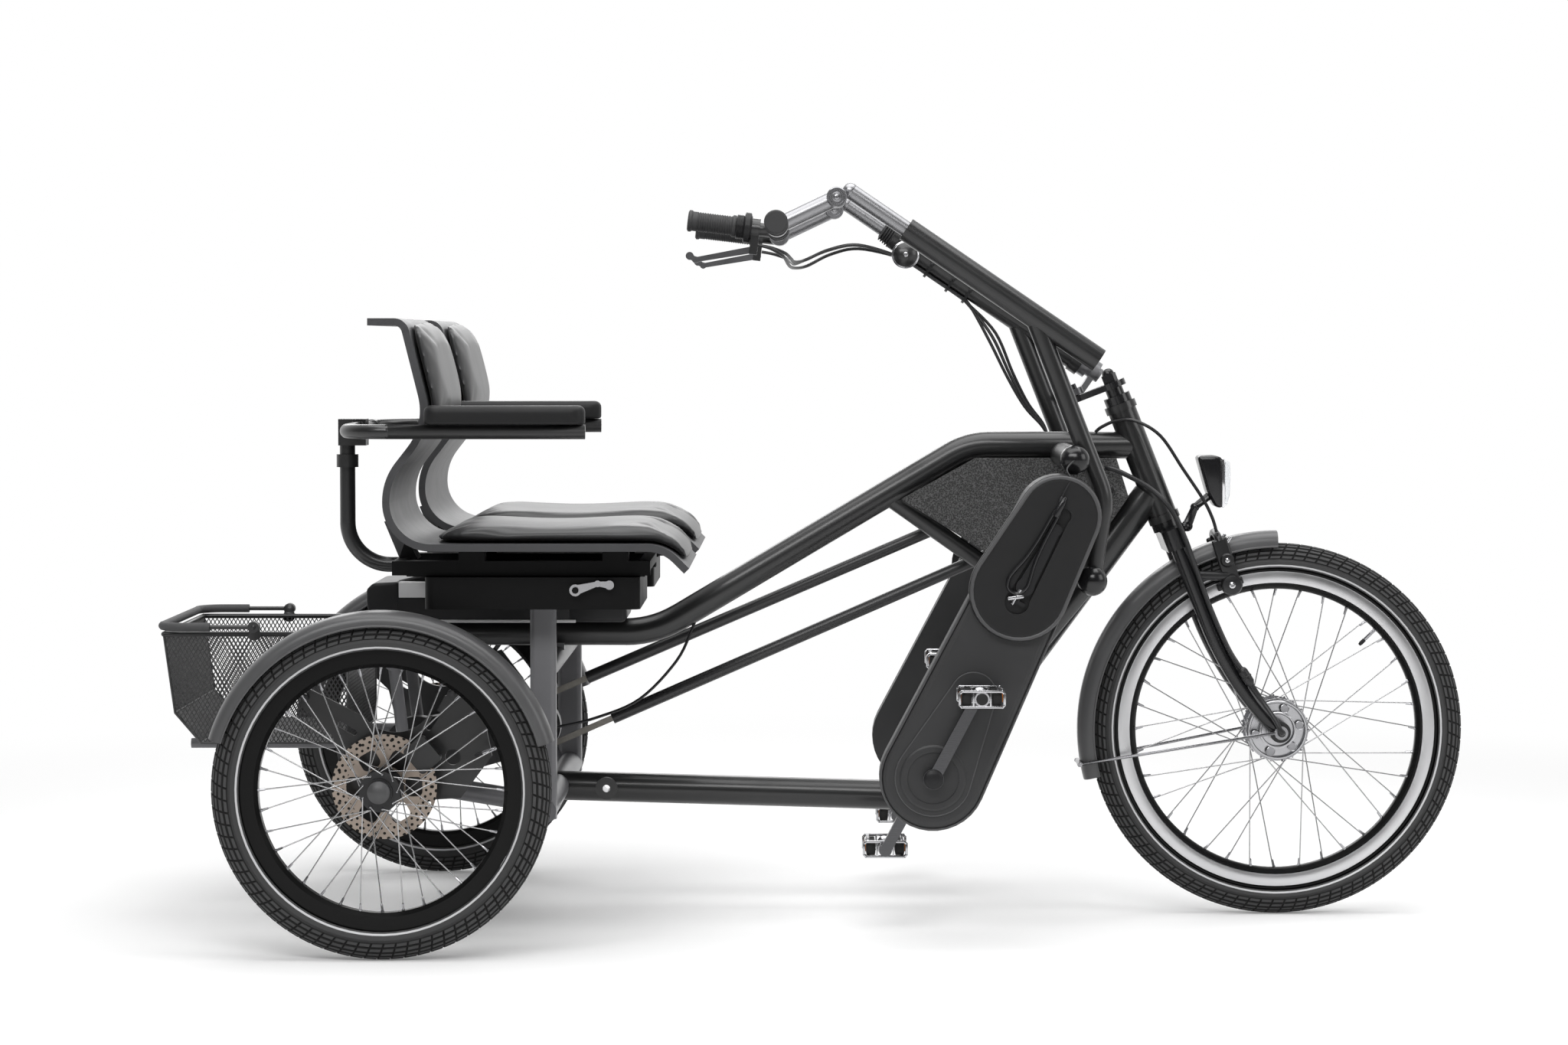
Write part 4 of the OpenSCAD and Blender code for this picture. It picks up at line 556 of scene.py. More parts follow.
def round_edges(bm: BMesh, edges: list[BMEdge], radius: float, segments: int, clamp: bool = False) -> None:
    """Rounds edges of a mesh.

    Args:
        bm: The mesh.
        edges: The edges.
        radius: Radius in millimetres.
        segments: Steps of the round.
        clamp: Whether rounds that would meet are held back.
    """
    bmesh.ops.bevel(bm, geom=edges, offset=radius * MM, affect="EDGES", segments=segments, profile=0.5,
                    material=-1, clamp_overlap=clamp)


def cuboid(x: float, y: float, z: float) -> BMesh:
    """A plain box round the origin, its sizes in millimetres.

    Args:
        x: Length.
        y: Width.
        z: Height.

    Returns:
        The box.
    """
    bm = bmesh.new()
    bmesh.ops.create_cube(bm, size=1.0, matrix=Matrix.Diagonal((x * MM, y * MM, z * MM, 1.0)))
    return bm


def block(size: tuple[float, float, float], bevel: float, segments: int = 2) -> BMesh:
    """A box with rounded edges.

    Args:
        size: Length, width and height in millimetres.
        bevel: Radius of its edges.
        segments: Steps of each round.

    Returns:
        The box, its middle at the origin.
    """
    bm = cuboid(*size)
    round_edges(bm, bm.edges[:], bevel, segments)
    return bm


def tube(points: Iterable[Vector], radius: float, sides: int = 3, cyclic: bool = False) -> BMesh:
    """A round tube along a smooth line through points.

    Args:
        points: The places that it passes, in metres.
        radius: Radius in millimetres.
        sides: Bevel resolution of the section.
        cyclic: Whether the line closes.

    Returns:
        The tube with capped ends.
    """
    line = list(points)
    curve = bpy.data.curves.new("line", "CURVE")
    curve.dimensions = "3D"
    curve.bevel_depth = radius * MM
    curve.bevel_resolution = sides
    curve.use_fill_caps = not cyclic
    spline = curve.splines.new("POLY")
    spline.points.add(len(line) - 1)
    for point, place in zip(spline.points, line):
        point.co = (*place, 1.0)
    spline.use_cyclic_u = cyclic
    holder = bpy.data.objects.new("line", curve)
    bpy.context.scene.collection.objects.link(holder)
    mesh = bpy.data.meshes.new_from_object(holder.evaluated_get(bpy.context.evaluated_depsgraph_get()))
    bpy.data.objects.remove(holder)
    bm = bmesh.new()
    bm.from_mesh(mesh)
    bpy.data.meshes.remove(mesh)
    bmesh.ops.remove_doubles(bm, verts=bm.verts, dist=MERGE)
    outwards(bm)
    return bm


def smooth_line(points: list[Vector], steps: int = 6) -> list[Vector]:
    """A curve through all points, as the solids' cables follow it.

    Args:
        points: The places that it passes.
        steps: New points for each stretch.

    Returns:
        The points of the curve.
    """
    line = []
    last = len(points) - 1
    for i in range(last):
        a, b, c, d = points[max(i - 1, 0)], points[i], points[i + 1], points[min(i + 2, last)]
        for k in range(steps):
            t = k / steps
            line.append(0.5 * (2 * b + (c - a) * t + (2 * a - 5 * b + 4 * c - d) * t * t
                               + (3 * b - a - 3 * c + d) * t ** 3))
    line.append(points[last].copy())
    return line


def link_line(a: tuple[float, float], ra: float, b: tuple[float, float], rb: float, y: float,
              steps: int = 18) -> list[Vector]:
    """The closed line round two circles in an XZ plane, with their common tangents.

    Args:
        a: Centre of the first circle.
        ra: Its radius.
        b: Centre of the second circle.
        rb: Its radius.
        y: Place of the plane.
        steps: Steps of each arc.

    Returns:
        The points of the line.
    """
    lean = math.atan2(b[1] - a[1], b[0] - a[0])
    open_angle = math.acos((ra - rb) / math.hypot(b[0] - a[0], b[1] - a[1]))
    points = []
    for centre, r, start, sweep in ((a, ra, lean + open_angle, TURN - 2 * open_angle),
                                    (b, rb, lean - open_angle, 2 * open_angle)):
        for k in range(steps + 1):
            t = start + sweep * k / steps
            points.append(at(centre[0] + r * math.cos(t), y, centre[1] + r * math.sin(t)))
    return points


def prism(outline: Iterable[tuple[float, float]], half: float, bevel: float) -> BMesh:
    """A side outline made thick along Y, with rounded edges.

    Args:
        outline: Its points in X and Z, in millimetres from the rear axle.
        half: Half of its thickness.
        bevel: Radius of its edges.

    Returns:
        The rounded solid, its middle at Y = 0.
    """
    bm = bmesh.new()
    face = bm.faces.new([bm.verts.new(at(x, -half, z)) for x, z in outline])
    up = bmesh.ops.extrude_face_region(bm, geom=[face])["geom"]
    bmesh.ops.translate(bm, verts=[v for v in up if isinstance(v, BMVert)], vec=(0, 2 * half * MM, 0))
    outwards(bm)
    round_edges(bm, bm.edges[:], bevel, 4, clamp=True)
    return bm


def node_faces(node: str, keep: Callable[[Vector], bool]) -> BMesh:
    """Copies the faces of a solid whose middle passes a test.

    Args:
        node: Name of the solid.
        keep: The test, given a point in millimetres from the rear axle.

    Returns:
        A merged copy of those faces.
    """
    bm = bmesh.new()
    bm.from_mesh(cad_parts[node].data)
    drop = [f for f in bm.faces if not keep(rear_mm(f.calc_center_median()))]
    bmesh.ops.delete(bm, geom=drop, context="FACES")
    bmesh.ops.remove_doubles(bm, verts=bm.verts, dist=MERGE)
    return bm


def rear_mm(place: Vector) -> Vector:
    """A place in metres as millimetres from the rear axle."""
    return Vector((place.x / MM - ORIGIN_X, place.y / MM, place.z / MM))


def piece(name: str, bm: BMesh, finish: Finish, body: str, *stands_for: str, crease: float = 34.0) -> Object:
    """Makes an object of a mesh, dresses it and lets it ride on a body.

    Args:
        name: Name of the piece.
        bm: Its mesh, which is freed.
        finish: Its finish.
        body: The body that carries it.
        stands_for: Solids that it replaces.
        crease: Angle above which an edge stays sharp, in degrees.

    Returns:
        The piece.
    """
    mesh = bpy.data.meshes.new(name)
    bm.to_mesh(mesh)
    bm.free()
    mesh.shade_smooth()
    mesh.set_sharp_from_angle(angle=math.radians(crease))
    mesh.materials.append(finish.material())
    thing = bpy.data.objects.new(name, mesh)
    bpy.context.scene.collection.objects.link(thing)
    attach(thing, body)
    if stands_for:
        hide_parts(*stands_for)
    LOG.info("%s: %d faces on %s", name, len(mesh.polygons), body)
    return thing


# Studio


@dataclass
class Studio:
    """Camera, soft light and a pale floor."""

    eye: tuple[float, float, float] = (-0.02117, -6.17986, 0.93257)
    tilt: float = 2.714
    swing: float = 0.331
    lens: float = 87.06
    near: float = 1.5
    far: float = 3.4
    dim: float = 0.1
    ambient: float = 0.5

    def build(self) -> None:
        """Makes the camera, the lamps, the world and the floor."""
        scene = bpy.context.scene
        scene.view_settings.view_transform = "Standard"
        camera = bpy.data.cameras.new("camera")
        camera.lens = self.lens
        camera.sensor_width = 36.0
        camera.clip_end = 60.0
        holder = bpy.data.objects.new("camera", camera)
        holder.location = self.eye
        holder.rotation_euler = (math.radians(90 - self.tilt), 0.0, math.radians(self.swing))
        scene.collection.objects.link(holder)
        scene.camera = holder
        self._lamp("overhead", (0.1, -0.3, 3.3), (0.0, 0.0, 0.4), (3.6, 2.6), 95.0)
        self._lamp("front_fill", (-0.9, -3.9, 3.5), (0.0, 0.0, 0.5), (4.4, 1.3), 120.0)
        self._lamp("nose_fill", (3.4, -1.6, 1.9), (0.4, 0.0, 0.5), (1.6, 1.8), 26.0)
        self._lamp("back_edge", (-0.6, 3.6, 2.4), (0.0, 0.0, 0.6), (3.0, 1.4), 40.0)
        self._world(scene)
        self._floor(scene)

    @staticmethod
    def _lamp(name: str, place: tuple[float, float, float], aim: tuple[float, float, float],
              size: tuple[float, float], watts: float) -> None:
        """Adds one area lamp.

        Args:
            name: Name of the lamp.
            place: Where it hangs.
            aim: The point that it faces.
            size: Its width and height.
            watts: Its power.
        """
        lamp = bpy.data.lights.new(name, "AREA")
        lamp.shape = "RECTANGLE"
        lamp.size, lamp.size_y = size
        lamp.energy = watts
        holder = bpy.data.objects.new(name, lamp)
        holder.location = place
        holder.rotation_euler = (Vector(aim) - Vector(place)).to_track_quat("-Z", "Y").to_euler()
        bpy.context.scene.collection.objects.link(holder)

    @staticmethod
    def _seen(tree: NodeTree) -> NodeSocket:
        """A mask of the rays that show the white background.

        Args:
            tree: The node tree that takes the mask.

        Returns:
            One for camera and glass rays, else zero.
        """
        path = tree.nodes.new("ShaderNodeLightPath")
        return math_node(tree, "MAXIMUM", path.outputs["Is Camera Ray"], path.outputs["Is Transmission Ray"])

    def _world(self, scene: Scene) -> None:
        """A white backdrop that falls off to a dim room on the camera's side.

        Args:
            scene: The scene that takes it.
        """
        world = bpy.data.worlds.new("studio")
        world.use_nodes = True
        scene.world = world
        tree = world.node_tree
        background = tree.nodes["Background"]
        background.inputs["Color"].default_value = (1.0, 1.0, 1.0, 1.0)
        way = tree.nodes.new("ShaderNodeTexCoord")
        axes = tree.nodes.new("ShaderNodeSeparateXYZ")
        room = tree.nodes.new("ShaderNodeMapRange")
        room.interpolation_type = "SMOOTHSTEP"
        set_inputs(room, {"From Min": -0.35, "From Max": 0.75, "To Min": self.dim})
        path = tree.nodes.new("ShaderNodeLightPath")
        soft = tree.nodes.new("ShaderNodeMapRange")
        set_inputs(soft, {"To Min": 1.0, "To Max": self.ambient})
        link = tree.links.new
        link(way.outputs["Generated"], axes.inputs[0])
        link(axes.outputs["Y"], room.inputs["Value"])
        link(path.outputs["Is Diffuse Ray"], soft.inputs["Value"])
        lit = math_node(tree, "MULTIPLY", room.outputs["Result"], soft.outputs["Result"])
        link(math_node(tree, "MAXIMUM", lit, self._seen(tree)), background.inputs["Strength"])

    def _floor(self, scene: Scene) -> None:
        """A pale floor that keeps the shadow and fades into the white.

        Args:
            scene: The scene that takes it.
        """
        bm = bmesh.new()
        bmesh.ops.create_circle(bm, cap_ends=True, segments=96, radius=14.0)
        mesh = bpy.data.meshes.new("floor")
        bm.to_mesh(mesh)
        bm.free()
        floor = bpy.data.objects.new("floor", mesh)
        scene.collection.objects.link(floor)
        material = bpy.data.materials.new("pale_floor")
        material.use_nodes = True
        tree = material.node_tree
        tree.nodes.clear()
        link = tree.links.new
        lit = tree.nodes.new("ShaderNodeBsdfDiffuse")
        lit.inputs["Color"].default_value = (0.86, 0.86, 0.86, 1.0)
        lift = tree.nodes.new("ShaderNodeEmission")
        lift.inputs["Strength"].default_value = 0.16
        near = tree.nodes.new("ShaderNodeAddShader")
        plain = tree.nodes.new("ShaderNodeBsdfDiffuse")
        plain.inputs["Color"].default_value = (0.8, 0.8, 0.8, 1.0)
        path = tree.nodes.new("ShaderNodeLightPath")
        seen = math_node(tree, "MAXIMUM", path.outputs["Is Glossy Ray"], self._seen(tree))
        white = tree.nodes.new("ShaderNodeEmission")
        place = tree.nodes.new("ShaderNodeTexCoord")
        reach = tree.nodes.new("ShaderNodeVectorMath")
        reach.operation = "LENGTH"
        fade = tree.nodes.new("ShaderNodeMapRange")
        fade.interpolation_type = "SMOOTHSTEP"
        set_inputs(fade, {"From Min": self.near, "From Max": self.far})
        shown = tree.nodes.new("ShaderNodeMixShader")
        either = tree.nodes.new("ShaderNodeMixShader")
        out = tree.nodes.new("ShaderNodeOutputMaterial")
        link(lit.outputs[0], near.inputs[0])
        link(lift.outputs[0], near.inputs[1])
        link(place.outputs["Object"], reach.inputs[0])
        link(reach.outputs["Value"], fade.inputs["Value"])
        link(fade.outputs["Result"], shown.inputs["Fac"])
        link(near.outputs[0], shown.inputs[1])
        link(white.outputs[0], shown.inputs[2])
        link(seen, either.inputs["Fac"])
        link(plain.outputs[0], either.inputs[1])
        link(shown.outputs[0], either.inputs[2])
        link(either.outputs[0], out.inputs["Surface"])
        mesh.materials.append(material)


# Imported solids


@dataclass
class Dressing:
    """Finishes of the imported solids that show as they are."""

    plain: dict[Finish, tuple[str, ...]] = field(default_factory=lambda: {
        FRAME_PAINT: ("main_frame", "right_rider_frame", "left_rider_frame", "axle_plates", "passenger_bar",
                      "driver_bar", "armrest_post"),
        GREY_PAINT: ("rear_frame",),
        # The seat bases carry painted shade: darker than the frame paint, as if shadowed by the seats.
        BASE_PAINT_AND_SHADE: ("seat_bases",),
        FORK_PAINT: ("fork",),
        GUSSET_MAT: ("gusset_plates",),
        CASE_PLASTIC: ("chain_cases",),
        COVER_PLASTIC: ("case_covers",),
        TUBE_PLASTIC: ("chain_tubes",),
        SHELL_PLASTIC: ("right_seat_shell", "left_seat_shell"),
        RIM_BLACK: ("right_rim", "left_rim", "front_rim"),
        BLACK_STEEL: ("axle_housing", "right_hub", "left_hub"),
        DARK_STEEL: ("cross_shaft", "right_brake_lever", "left_brake_lever", "tie_rod"),
        CRANK_ALLOY: ("right_crank", "left_crank"),
        STEM_ALLOY: ("passenger_stem", "driver_stem"),
        ALLOY: ("front_hub", "right_seat_lever", "left_seat_lever"),
        ALLOY_SATIN: ("gear_hub",),
        BASKET_COAT: ("basket_bail",),
    })

    def build(self) -> None:
        """Dresses each solid that shows, then the parts of a solid that differ."""
        for finish, nodes in self.plain.items():
            for node in nodes:
                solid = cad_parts[node]
                solid.data.materials.clear()
                solid.data.materials.append(finish.material())
                LOG.info("%s: %s", node, finish.name)
        for side, out in (("right", -1.0), ("left", 1.0)):
            y = out * WHEEL_Y
            self.part(f"{side}_hub", SPOKE_STEEL, lambda p: self.from_axle(p, REAR_AXLE) > 32.6)
            self.part(f"{side}_hub", DISC_STEEL, lambda p, y=y, out=out:
                      abs((p.y - y) * out + 40) < 2.2 and 21 < self.from_axle(p, REAR_AXLE) < 81)
            self.part(f"{side}_hub", CASE_EDGE, lambda p, y=y, out=out:
                      (p.y - y) * out > 34.5 and self.from_axle(p, REAR_AXLE) < 17.5)
            # The shell's lower faces take the near-black base paint: painted shade in the gap between shell
            # and base.
            self.part(f"{side}_seat_shell", BASE_PAINT_AND_SHADE, lambda p: p.z < 615 and p.x < 405)
        self.part("front_rim", RIM_TRACK, lambda p: self.from_axle(p, FRONT_AXLE) > 247.5 and abs(p.y) > 14)
        self.part("front_hub", SPOKE_STEEL, lambda p: self.from_axle(p, FRONT_AXLE) > 57)
        self.part("front_hub", BLACK_STEEL, lambda p: self.from_axle(p, FRONT_AXLE) < 14 and abs(p.y) > 36)
        self.part("main_frame", ALLOY, lambda p: self.from_axle(p, (316.0, 206.7)) < 6.3)
        self.part("basket_bail", FOAM_GRIP, lambda p: p.x < -372)
        self.part("passenger_bar", GRIP_RUBBER, lambda p: abs(abs(p.y + RIDER_Y) - 142) < 62
                  and abs(p.y + RIDER_Y) > 80)
        self.part("case_covers", BLACK_PLASTIC, lambda p: abs(p.y) > 354.6)

    @staticmethod
    def from_axle(p: Vector, axle: tuple[float, float]) -> float:
        """Distance of a point from an axle along Y."""
        return math.hypot(p.x - axle[0], p.z - axle[1])

    @staticmethod
    def part(node: str, finish: Finish, test: Callable[[Vector], bool]) -> None:
        """Gives part of a solid another finish.

        Args:
            node: Name of the solid.
            finish: The finish of that part.
            test: Whether a face's middle, in millimetres from the rear axle, is in it.
        """
        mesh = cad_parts[node].data
        mesh.materials.append(finish.material())
        index = len(mesh.materials) - 1
        for face in mesh.polygons:
            if test(rear_mm(face.center)):
                face.material_index = index


# Wheels


@dataclass
class Wheel:
    """Tyre with tread blocks and reflective band, spoke nipples and valve of one wheel."""

    side: str
    centre: tuple[float, float, float]
    radius: float
    section: float
    flange: float
    rim_in: float
    hub_flange: float
    hub_z: float
    steps: int
    outward: float = -1.0
    valve: float = 60.0
    rows: tuple[float, ...] = (9.0, 25.0, 41.0, 57.0, 75.0, 92.0)
    block_h: float = 2.3
    groove: float = 1.6
    slant: float = 0.2
    wall: float = 4.0
    lip: float = 0.0
    rim_half: float = 14.5

    @property
    def body(self) -> str:
        """The body that the wheel's pieces ride on."""
        return f"{self.side}_wheel"

    def place(self) -> Matrix:
        """Local Z to the wheel's outer side, as the solid's spokes are laid out."""
        turn = Matrix(((1, 0, 0, 0), (0, 0, self.outward, 0), (0, 1, 0, 0), (0, 0, 0, 1)))
        return Matrix.Translation(at(*self.centre)) @ turn

    def put(self, bm: BMesh) -> None:
        """Moves a local mesh to the wheel, its faces still outwards.

        Args:
            bm: The mesh.
        """
        bmesh.ops.transform(bm, matrix=self.place(), verts=bm.verts)
        if self.place().determinant() < 0:
            bmesh.ops.reverse_faces(bm, faces=bm.faces)

    def build(self) -> None:
        """Makes all pieces of the wheel."""
        self.tyre()
        if self.lip:
            self.rim_bands()
        self.nipples()
        self.valve_stem()

    def tyre(self) -> None:
        """Spins the casing, then raises a block on each tread face."""
        mid = self.radius - self.section
        end = math.degrees(math.acos((self.flange + 0.4 - mid) / self.section))
        # Angle round the section, in degrees, and distance from its middle.
        half = [(a, self.section - self.block_h) for a in self.rows]
        shoulder = self.rows[-1] + 8
        half += [(self.rows[-1] + 4, self.section - self.block_h * 0.7)]
        half += [(a, self.section) for a in (shoulder, (shoulder + end - 13) / 2, end - 13, end - 6, end)]
        outer = [(-a, s) for a, s in reversed(half)] + half
        inner = [(a, self.section - self.wall) for a in (end - 8, 60, 0, -60, 8 - end)]
        profile, skew = [], []
        for angle, s in outer + inner:
            a = math.radians(angle)
            profile.append((mid + s * math.cos(a), s * math.sin(a)))
            skew.append(self.slant * min(abs(angle), self.rows[-1]) / self.rows[-1] * TURN / self.steps * 4)
        bm = lathe(profile + profile[:1], self.steps, skew + skew[:1])
        treads, bands = [], []
        for face in bm.faces:
            c = face.calc_center_median() / MM
            depth = math.hypot(c.x, c.y) - mid
            angle = abs(math.degrees(math.atan2(c.z, depth)))
            if math.hypot(depth, c.z) < self.section - self.wall * 0.7:
                continue
            if angle < self.rows[-1] - 1:
                treads.append(face)
            elif end - 13 < angle < end - 6:
                bands.append(face)
        sides = bmesh.ops.inset_individual(bm, faces=treads, thickness=self.groove * MM,
                                           depth=self.block_h * MM, use_even_offset=True)["faces"]
        # The block sides, index 3, take the groove finish: painted shade in the grooves.
        for index, faces in enumerate((treads, bands, sides), 1):
            for face in faces:
                face.material_index = index
        self.put(bm)
        made = piece(f"{self.side}_tyre_tread", bm, TYRE_RUBBER, self.body, f"{self.side}_tyre", crease=28)
        for finish in (TREAD_RUBBER, REFLEX_BAND, GROOVE_SHADE):
            made.data.materials.append(finish.material())

    def rim_bands(self) -> None:
        """A turned bright track between two black bands on both walls of the rim."""
        track, black = bmesh.new(), bmesh.new()
        low, high, half = self.rim_in + 1.5, self.flange - 6.0, self.rim_half
        middle = (low + high) / 2
        for side in (-1, 1):
            join(track, lathe([(r, side * z) for r, z in (
                (low, half - 1), (low + 1, half + 0.1), (low + 4, half + 0.5), (middle - 3, half + 0.85),
                (middle + 3, half + 0.85), (high - 4, half + 0.5), (high - 1, half + 0.1), (high, half - 1),
                (low, half - 1))], 120))
            join(black, lathe([(r, side * z) for r, z in (
                (high, half - 1), (high, half + 0.2), (high + 1, half + 0.7), (self.flange - 1, half + 0.9),
                (self.flange + 0.3, half + 0.2), (self.flange + 0.3, half - 1), (high, half - 1))], 120))
        inner = self.rim_in - self.lip
        join(black, lathe([(inner, -6), (inner, 6), (inner + 2, 9), (low - 3, half - 0.4), (low, half - 0.2),
                           (low, 0.2 - half), (low - 3, 0.4 - half), (inner + 2, -9), (inner, -6)], 120))
        for bm, finish, name in ((track, RIM_TRACK, "rim_track"), (black, RIM_BLACK, "rim_bands")):
            bmesh.ops.transform(bm, matrix=self.place(), verts=bm.verts)
            outwards(bm)
            piece(f"{self.side}_{name}", bm, finish, self.body)

    def spokes(self) -> list[tuple[Vector, Vector]]:
        """Hub end and rim end of each spoke.

        Returns:
            Pairs of places, in local millimetres.
        """
        ends = []
        for s in (1, -1):
            for k in range(18):
                lead = 1 if k % 2 == 0 else -1
                a = math.radians(20 * k + (0 if s > 0 else 10))
                b = a + math.radians(60 * lead)
                r0, r1 = self.hub_flange - 4.5, self.rim_in - self.lip - 0.5
                ends.append((
                    Vector((r0 * math.cos(a), r0 * math.sin(a), s * (self.hub_z + lead * 2.3))),
                    Vector((r1 * math.cos(b), r1 * math.sin(b), s * (4.2 + 1.8 * lead))),
                ))
        return ends

    def nipples(self) -> None:
        """A nipple where each spoke enters the rim, and its head at the hub."""
        bm = bmesh.new()
        for hub, rim in self.spokes():
            along = (hub - rim).normalized()
            nipple = lathe([(0, -1), (2.6, -1), (2.6, 1.5), (2.0, 2.2), (1.8, 10), (1.2, 11.5), (0, 11.5)], 8)
            join(bm, nipple, facing(rim * MM, along))
            side = math.copysign(1.0, hub.z)
            join(bm, lathe([(0, 1.4), (1.2, 1.2), (1.9, 0.4), (1.9, -0.6), (0, -0.6)], 8),
                 facing(hub * MM, Vector((0, 0, side))))
        self.put(bm)
        piece(f"{self.side}_spoke_nipples", bm, ALLOY_SATIN, self.body)

    def valve_stem(self) -> None:
        """The valve with its cap, pointing at the hub."""
        a = math.radians(self.valve)
        out = Vector((math.cos(a), math.sin(a), 0))
        place = self.place() @ facing(out * (self.rim_in - self.lip + 0.5) * MM, -out)
        stem = lathe([(0, -2), (4.4, -2), (4.4, 1), (3, 2), (3, 22), (2.6, 22.6), (2.6, 26), (0, 26)], 14)
        cap = lathe([(0, 24), (3.3, 24), (3.4, 32), (2.4, 36), (0, 36.4)], 14)
        for bm, name, finish in ((stem, "valve", ALLOY_SATIN), (cap, "valve_cap", BLACK_PLASTIC)):
            bmesh.ops.transform(bm, matrix=place, verts=bm.verts)
            outwards(bm)
            piece(f"{self.side}_{name}", bm, finish, self.body)


# Fenders and battery


@dataclass
class Fender:
    """A fender of rounded section with beaded edges, and the stays of its solid."""

    node: str
    body: str
    axle: tuple[float, float]
    sides: tuple[float, ...]
    radius: float
    half: float
    skirt: float
    start: float
    span: float
    stays: Finish
    bar: float = 0.0
    wall: float = 2.2
    power: float = 2.7
    bead: float = 1.9
    steps: int = 84

    def build(self) -> None:
        """Sweeps the section round each wheel, then adds the beads and the stays."""
        skin, rods = bmesh.new(), node_faces(self.node, self.is_stay)
        for y in self.sides:
            part = bmesh.new()
            ring = [part.verts.new(self.spot(r, y + side, self.start)) for r, side in self.section()]
            edges = [part.edges.new(pair) for pair in zip(ring, ring[1:] + ring[:1])]
            swept = bmesh.ops.spin(part, geom=ring + edges, cent=at(self.axle[0], y, self.axle[1]),
                                   axis=(0, -1, 0), angle=math.radians(self.span),
                                   steps=self.steps)["geom_last"]
            bmesh.ops.contextual_create(part, geom=edges)
            bmesh.ops.contextual_create(part, geom=[e for e in swept if isinstance(e, BMEdge)])
            outwards(part)
            join(skin, part)
            for side in (-1, 1):
                edge = [self.spot(self.radius - self.skirt, y + side * (self.half - 1),
                                  self.start + self.span * k / 60)
                        for k in range(61)]
                join(skin, tube(edge, self.bead))
        if self.bar:
            ends = [self.spot(self.radius + 2, side * (self.half + 5), self.bar) for side in (-1, 1)]
            join(rods, tube(ends, 4.0))
        piece(f"{self.node}_skin", skin, FENDER_SKIN, self.body, self.node, crease=50)
        piece(f"{self.node}_stays", rods, self.stays, self.body)

    def spot(self, r: float, y: float, angle: float) -> Vector:
        """Place at a radius, a side and an angle round the axle."""
        return at(self.axle[0], y, self.axle[1]) + heading(angle) * r * MM

    def is_stay(self, p: Vector) -> bool:
        """Whether a point of the solid lies outside the fender's own width or crown.

        Args:
            p: The point, in millimetres from the rear axle.

        Returns:
            True on a stay.
        """
        beside = min(abs(p.y - y) for y in self.sides) > self.half + 0.3
        above = math.hypot(p.x - self.axle[0], p.z - self.axle[1]) > self.radius + 0.5 and p.z > self.axle[1]
        return beside or above

    def section(self) -> list[tuple[float, float]]:
        """Points of the section, along the outside and back along the inside.

        Returns:
            Radius and side of each point.
        """
        points: list[tuple[float, float]] = []
        for shrink in (0.0, self.wall):
            row = []
            for t in range(0, 181, 9):
                c, rise = math.cos(math.radians(t)), abs(math.sin(math.radians(t)))
                side = math.copysign(abs(c) ** (2 / self.power), c)
                row.append((self.radius - self.skirt + (self.skirt - shrink) * rise ** (2 / self.power),
                            (self.half - shrink) * side))
            points += row[::-1] if shrink else row
        return points


@dataclass
class Battery:
    """The battery under the seats: a flat body with pale rails, a faceted nose and an end block."""

    nose: tuple[tuple[float, float], ...] = (
        (-66, 513), (-66, 536), (-55, 546.5), (-14, 548.5), (-14, 486), (-60, 486))
    dome: tuple[tuple[float, float], ...] = ((-32, 545), (36, 562), (150, 562), (150, 545))

    def build(self) -> None:
        """Makes the dark shell and the rails."""
        shell, rails = bmesh.new(), bmesh.new()
        join(shell, block((280, 188, 65), 4, 3), Matrix.Translation(at(122, 0, 515)))
        join(shell, prism(self.nose, 96.0, 5.0))
        join(shell, prism(self.dome, 58.0, 5.0))
        join(shell, block((102, 184, 58), 8, 3), Matrix.Translation(at(301, 0, 511.6)))
        for side in (-1, 1):
            join(rails, block((272, 1.8, 24.5), 0.6), Matrix.Translation(at(122, side * 94.6, 535.2)))
            join(rails, block((290, 2.6, 5), 0.8), Matrix.Translation(at(126, side * 95.0, 485)))
        piece("battery_shell", shell, BLACK_PLASTIC, "frame", "battery", crease=40)
        piece("battery_rails", rails, RAIL_SILVER, "frame")


# Seats


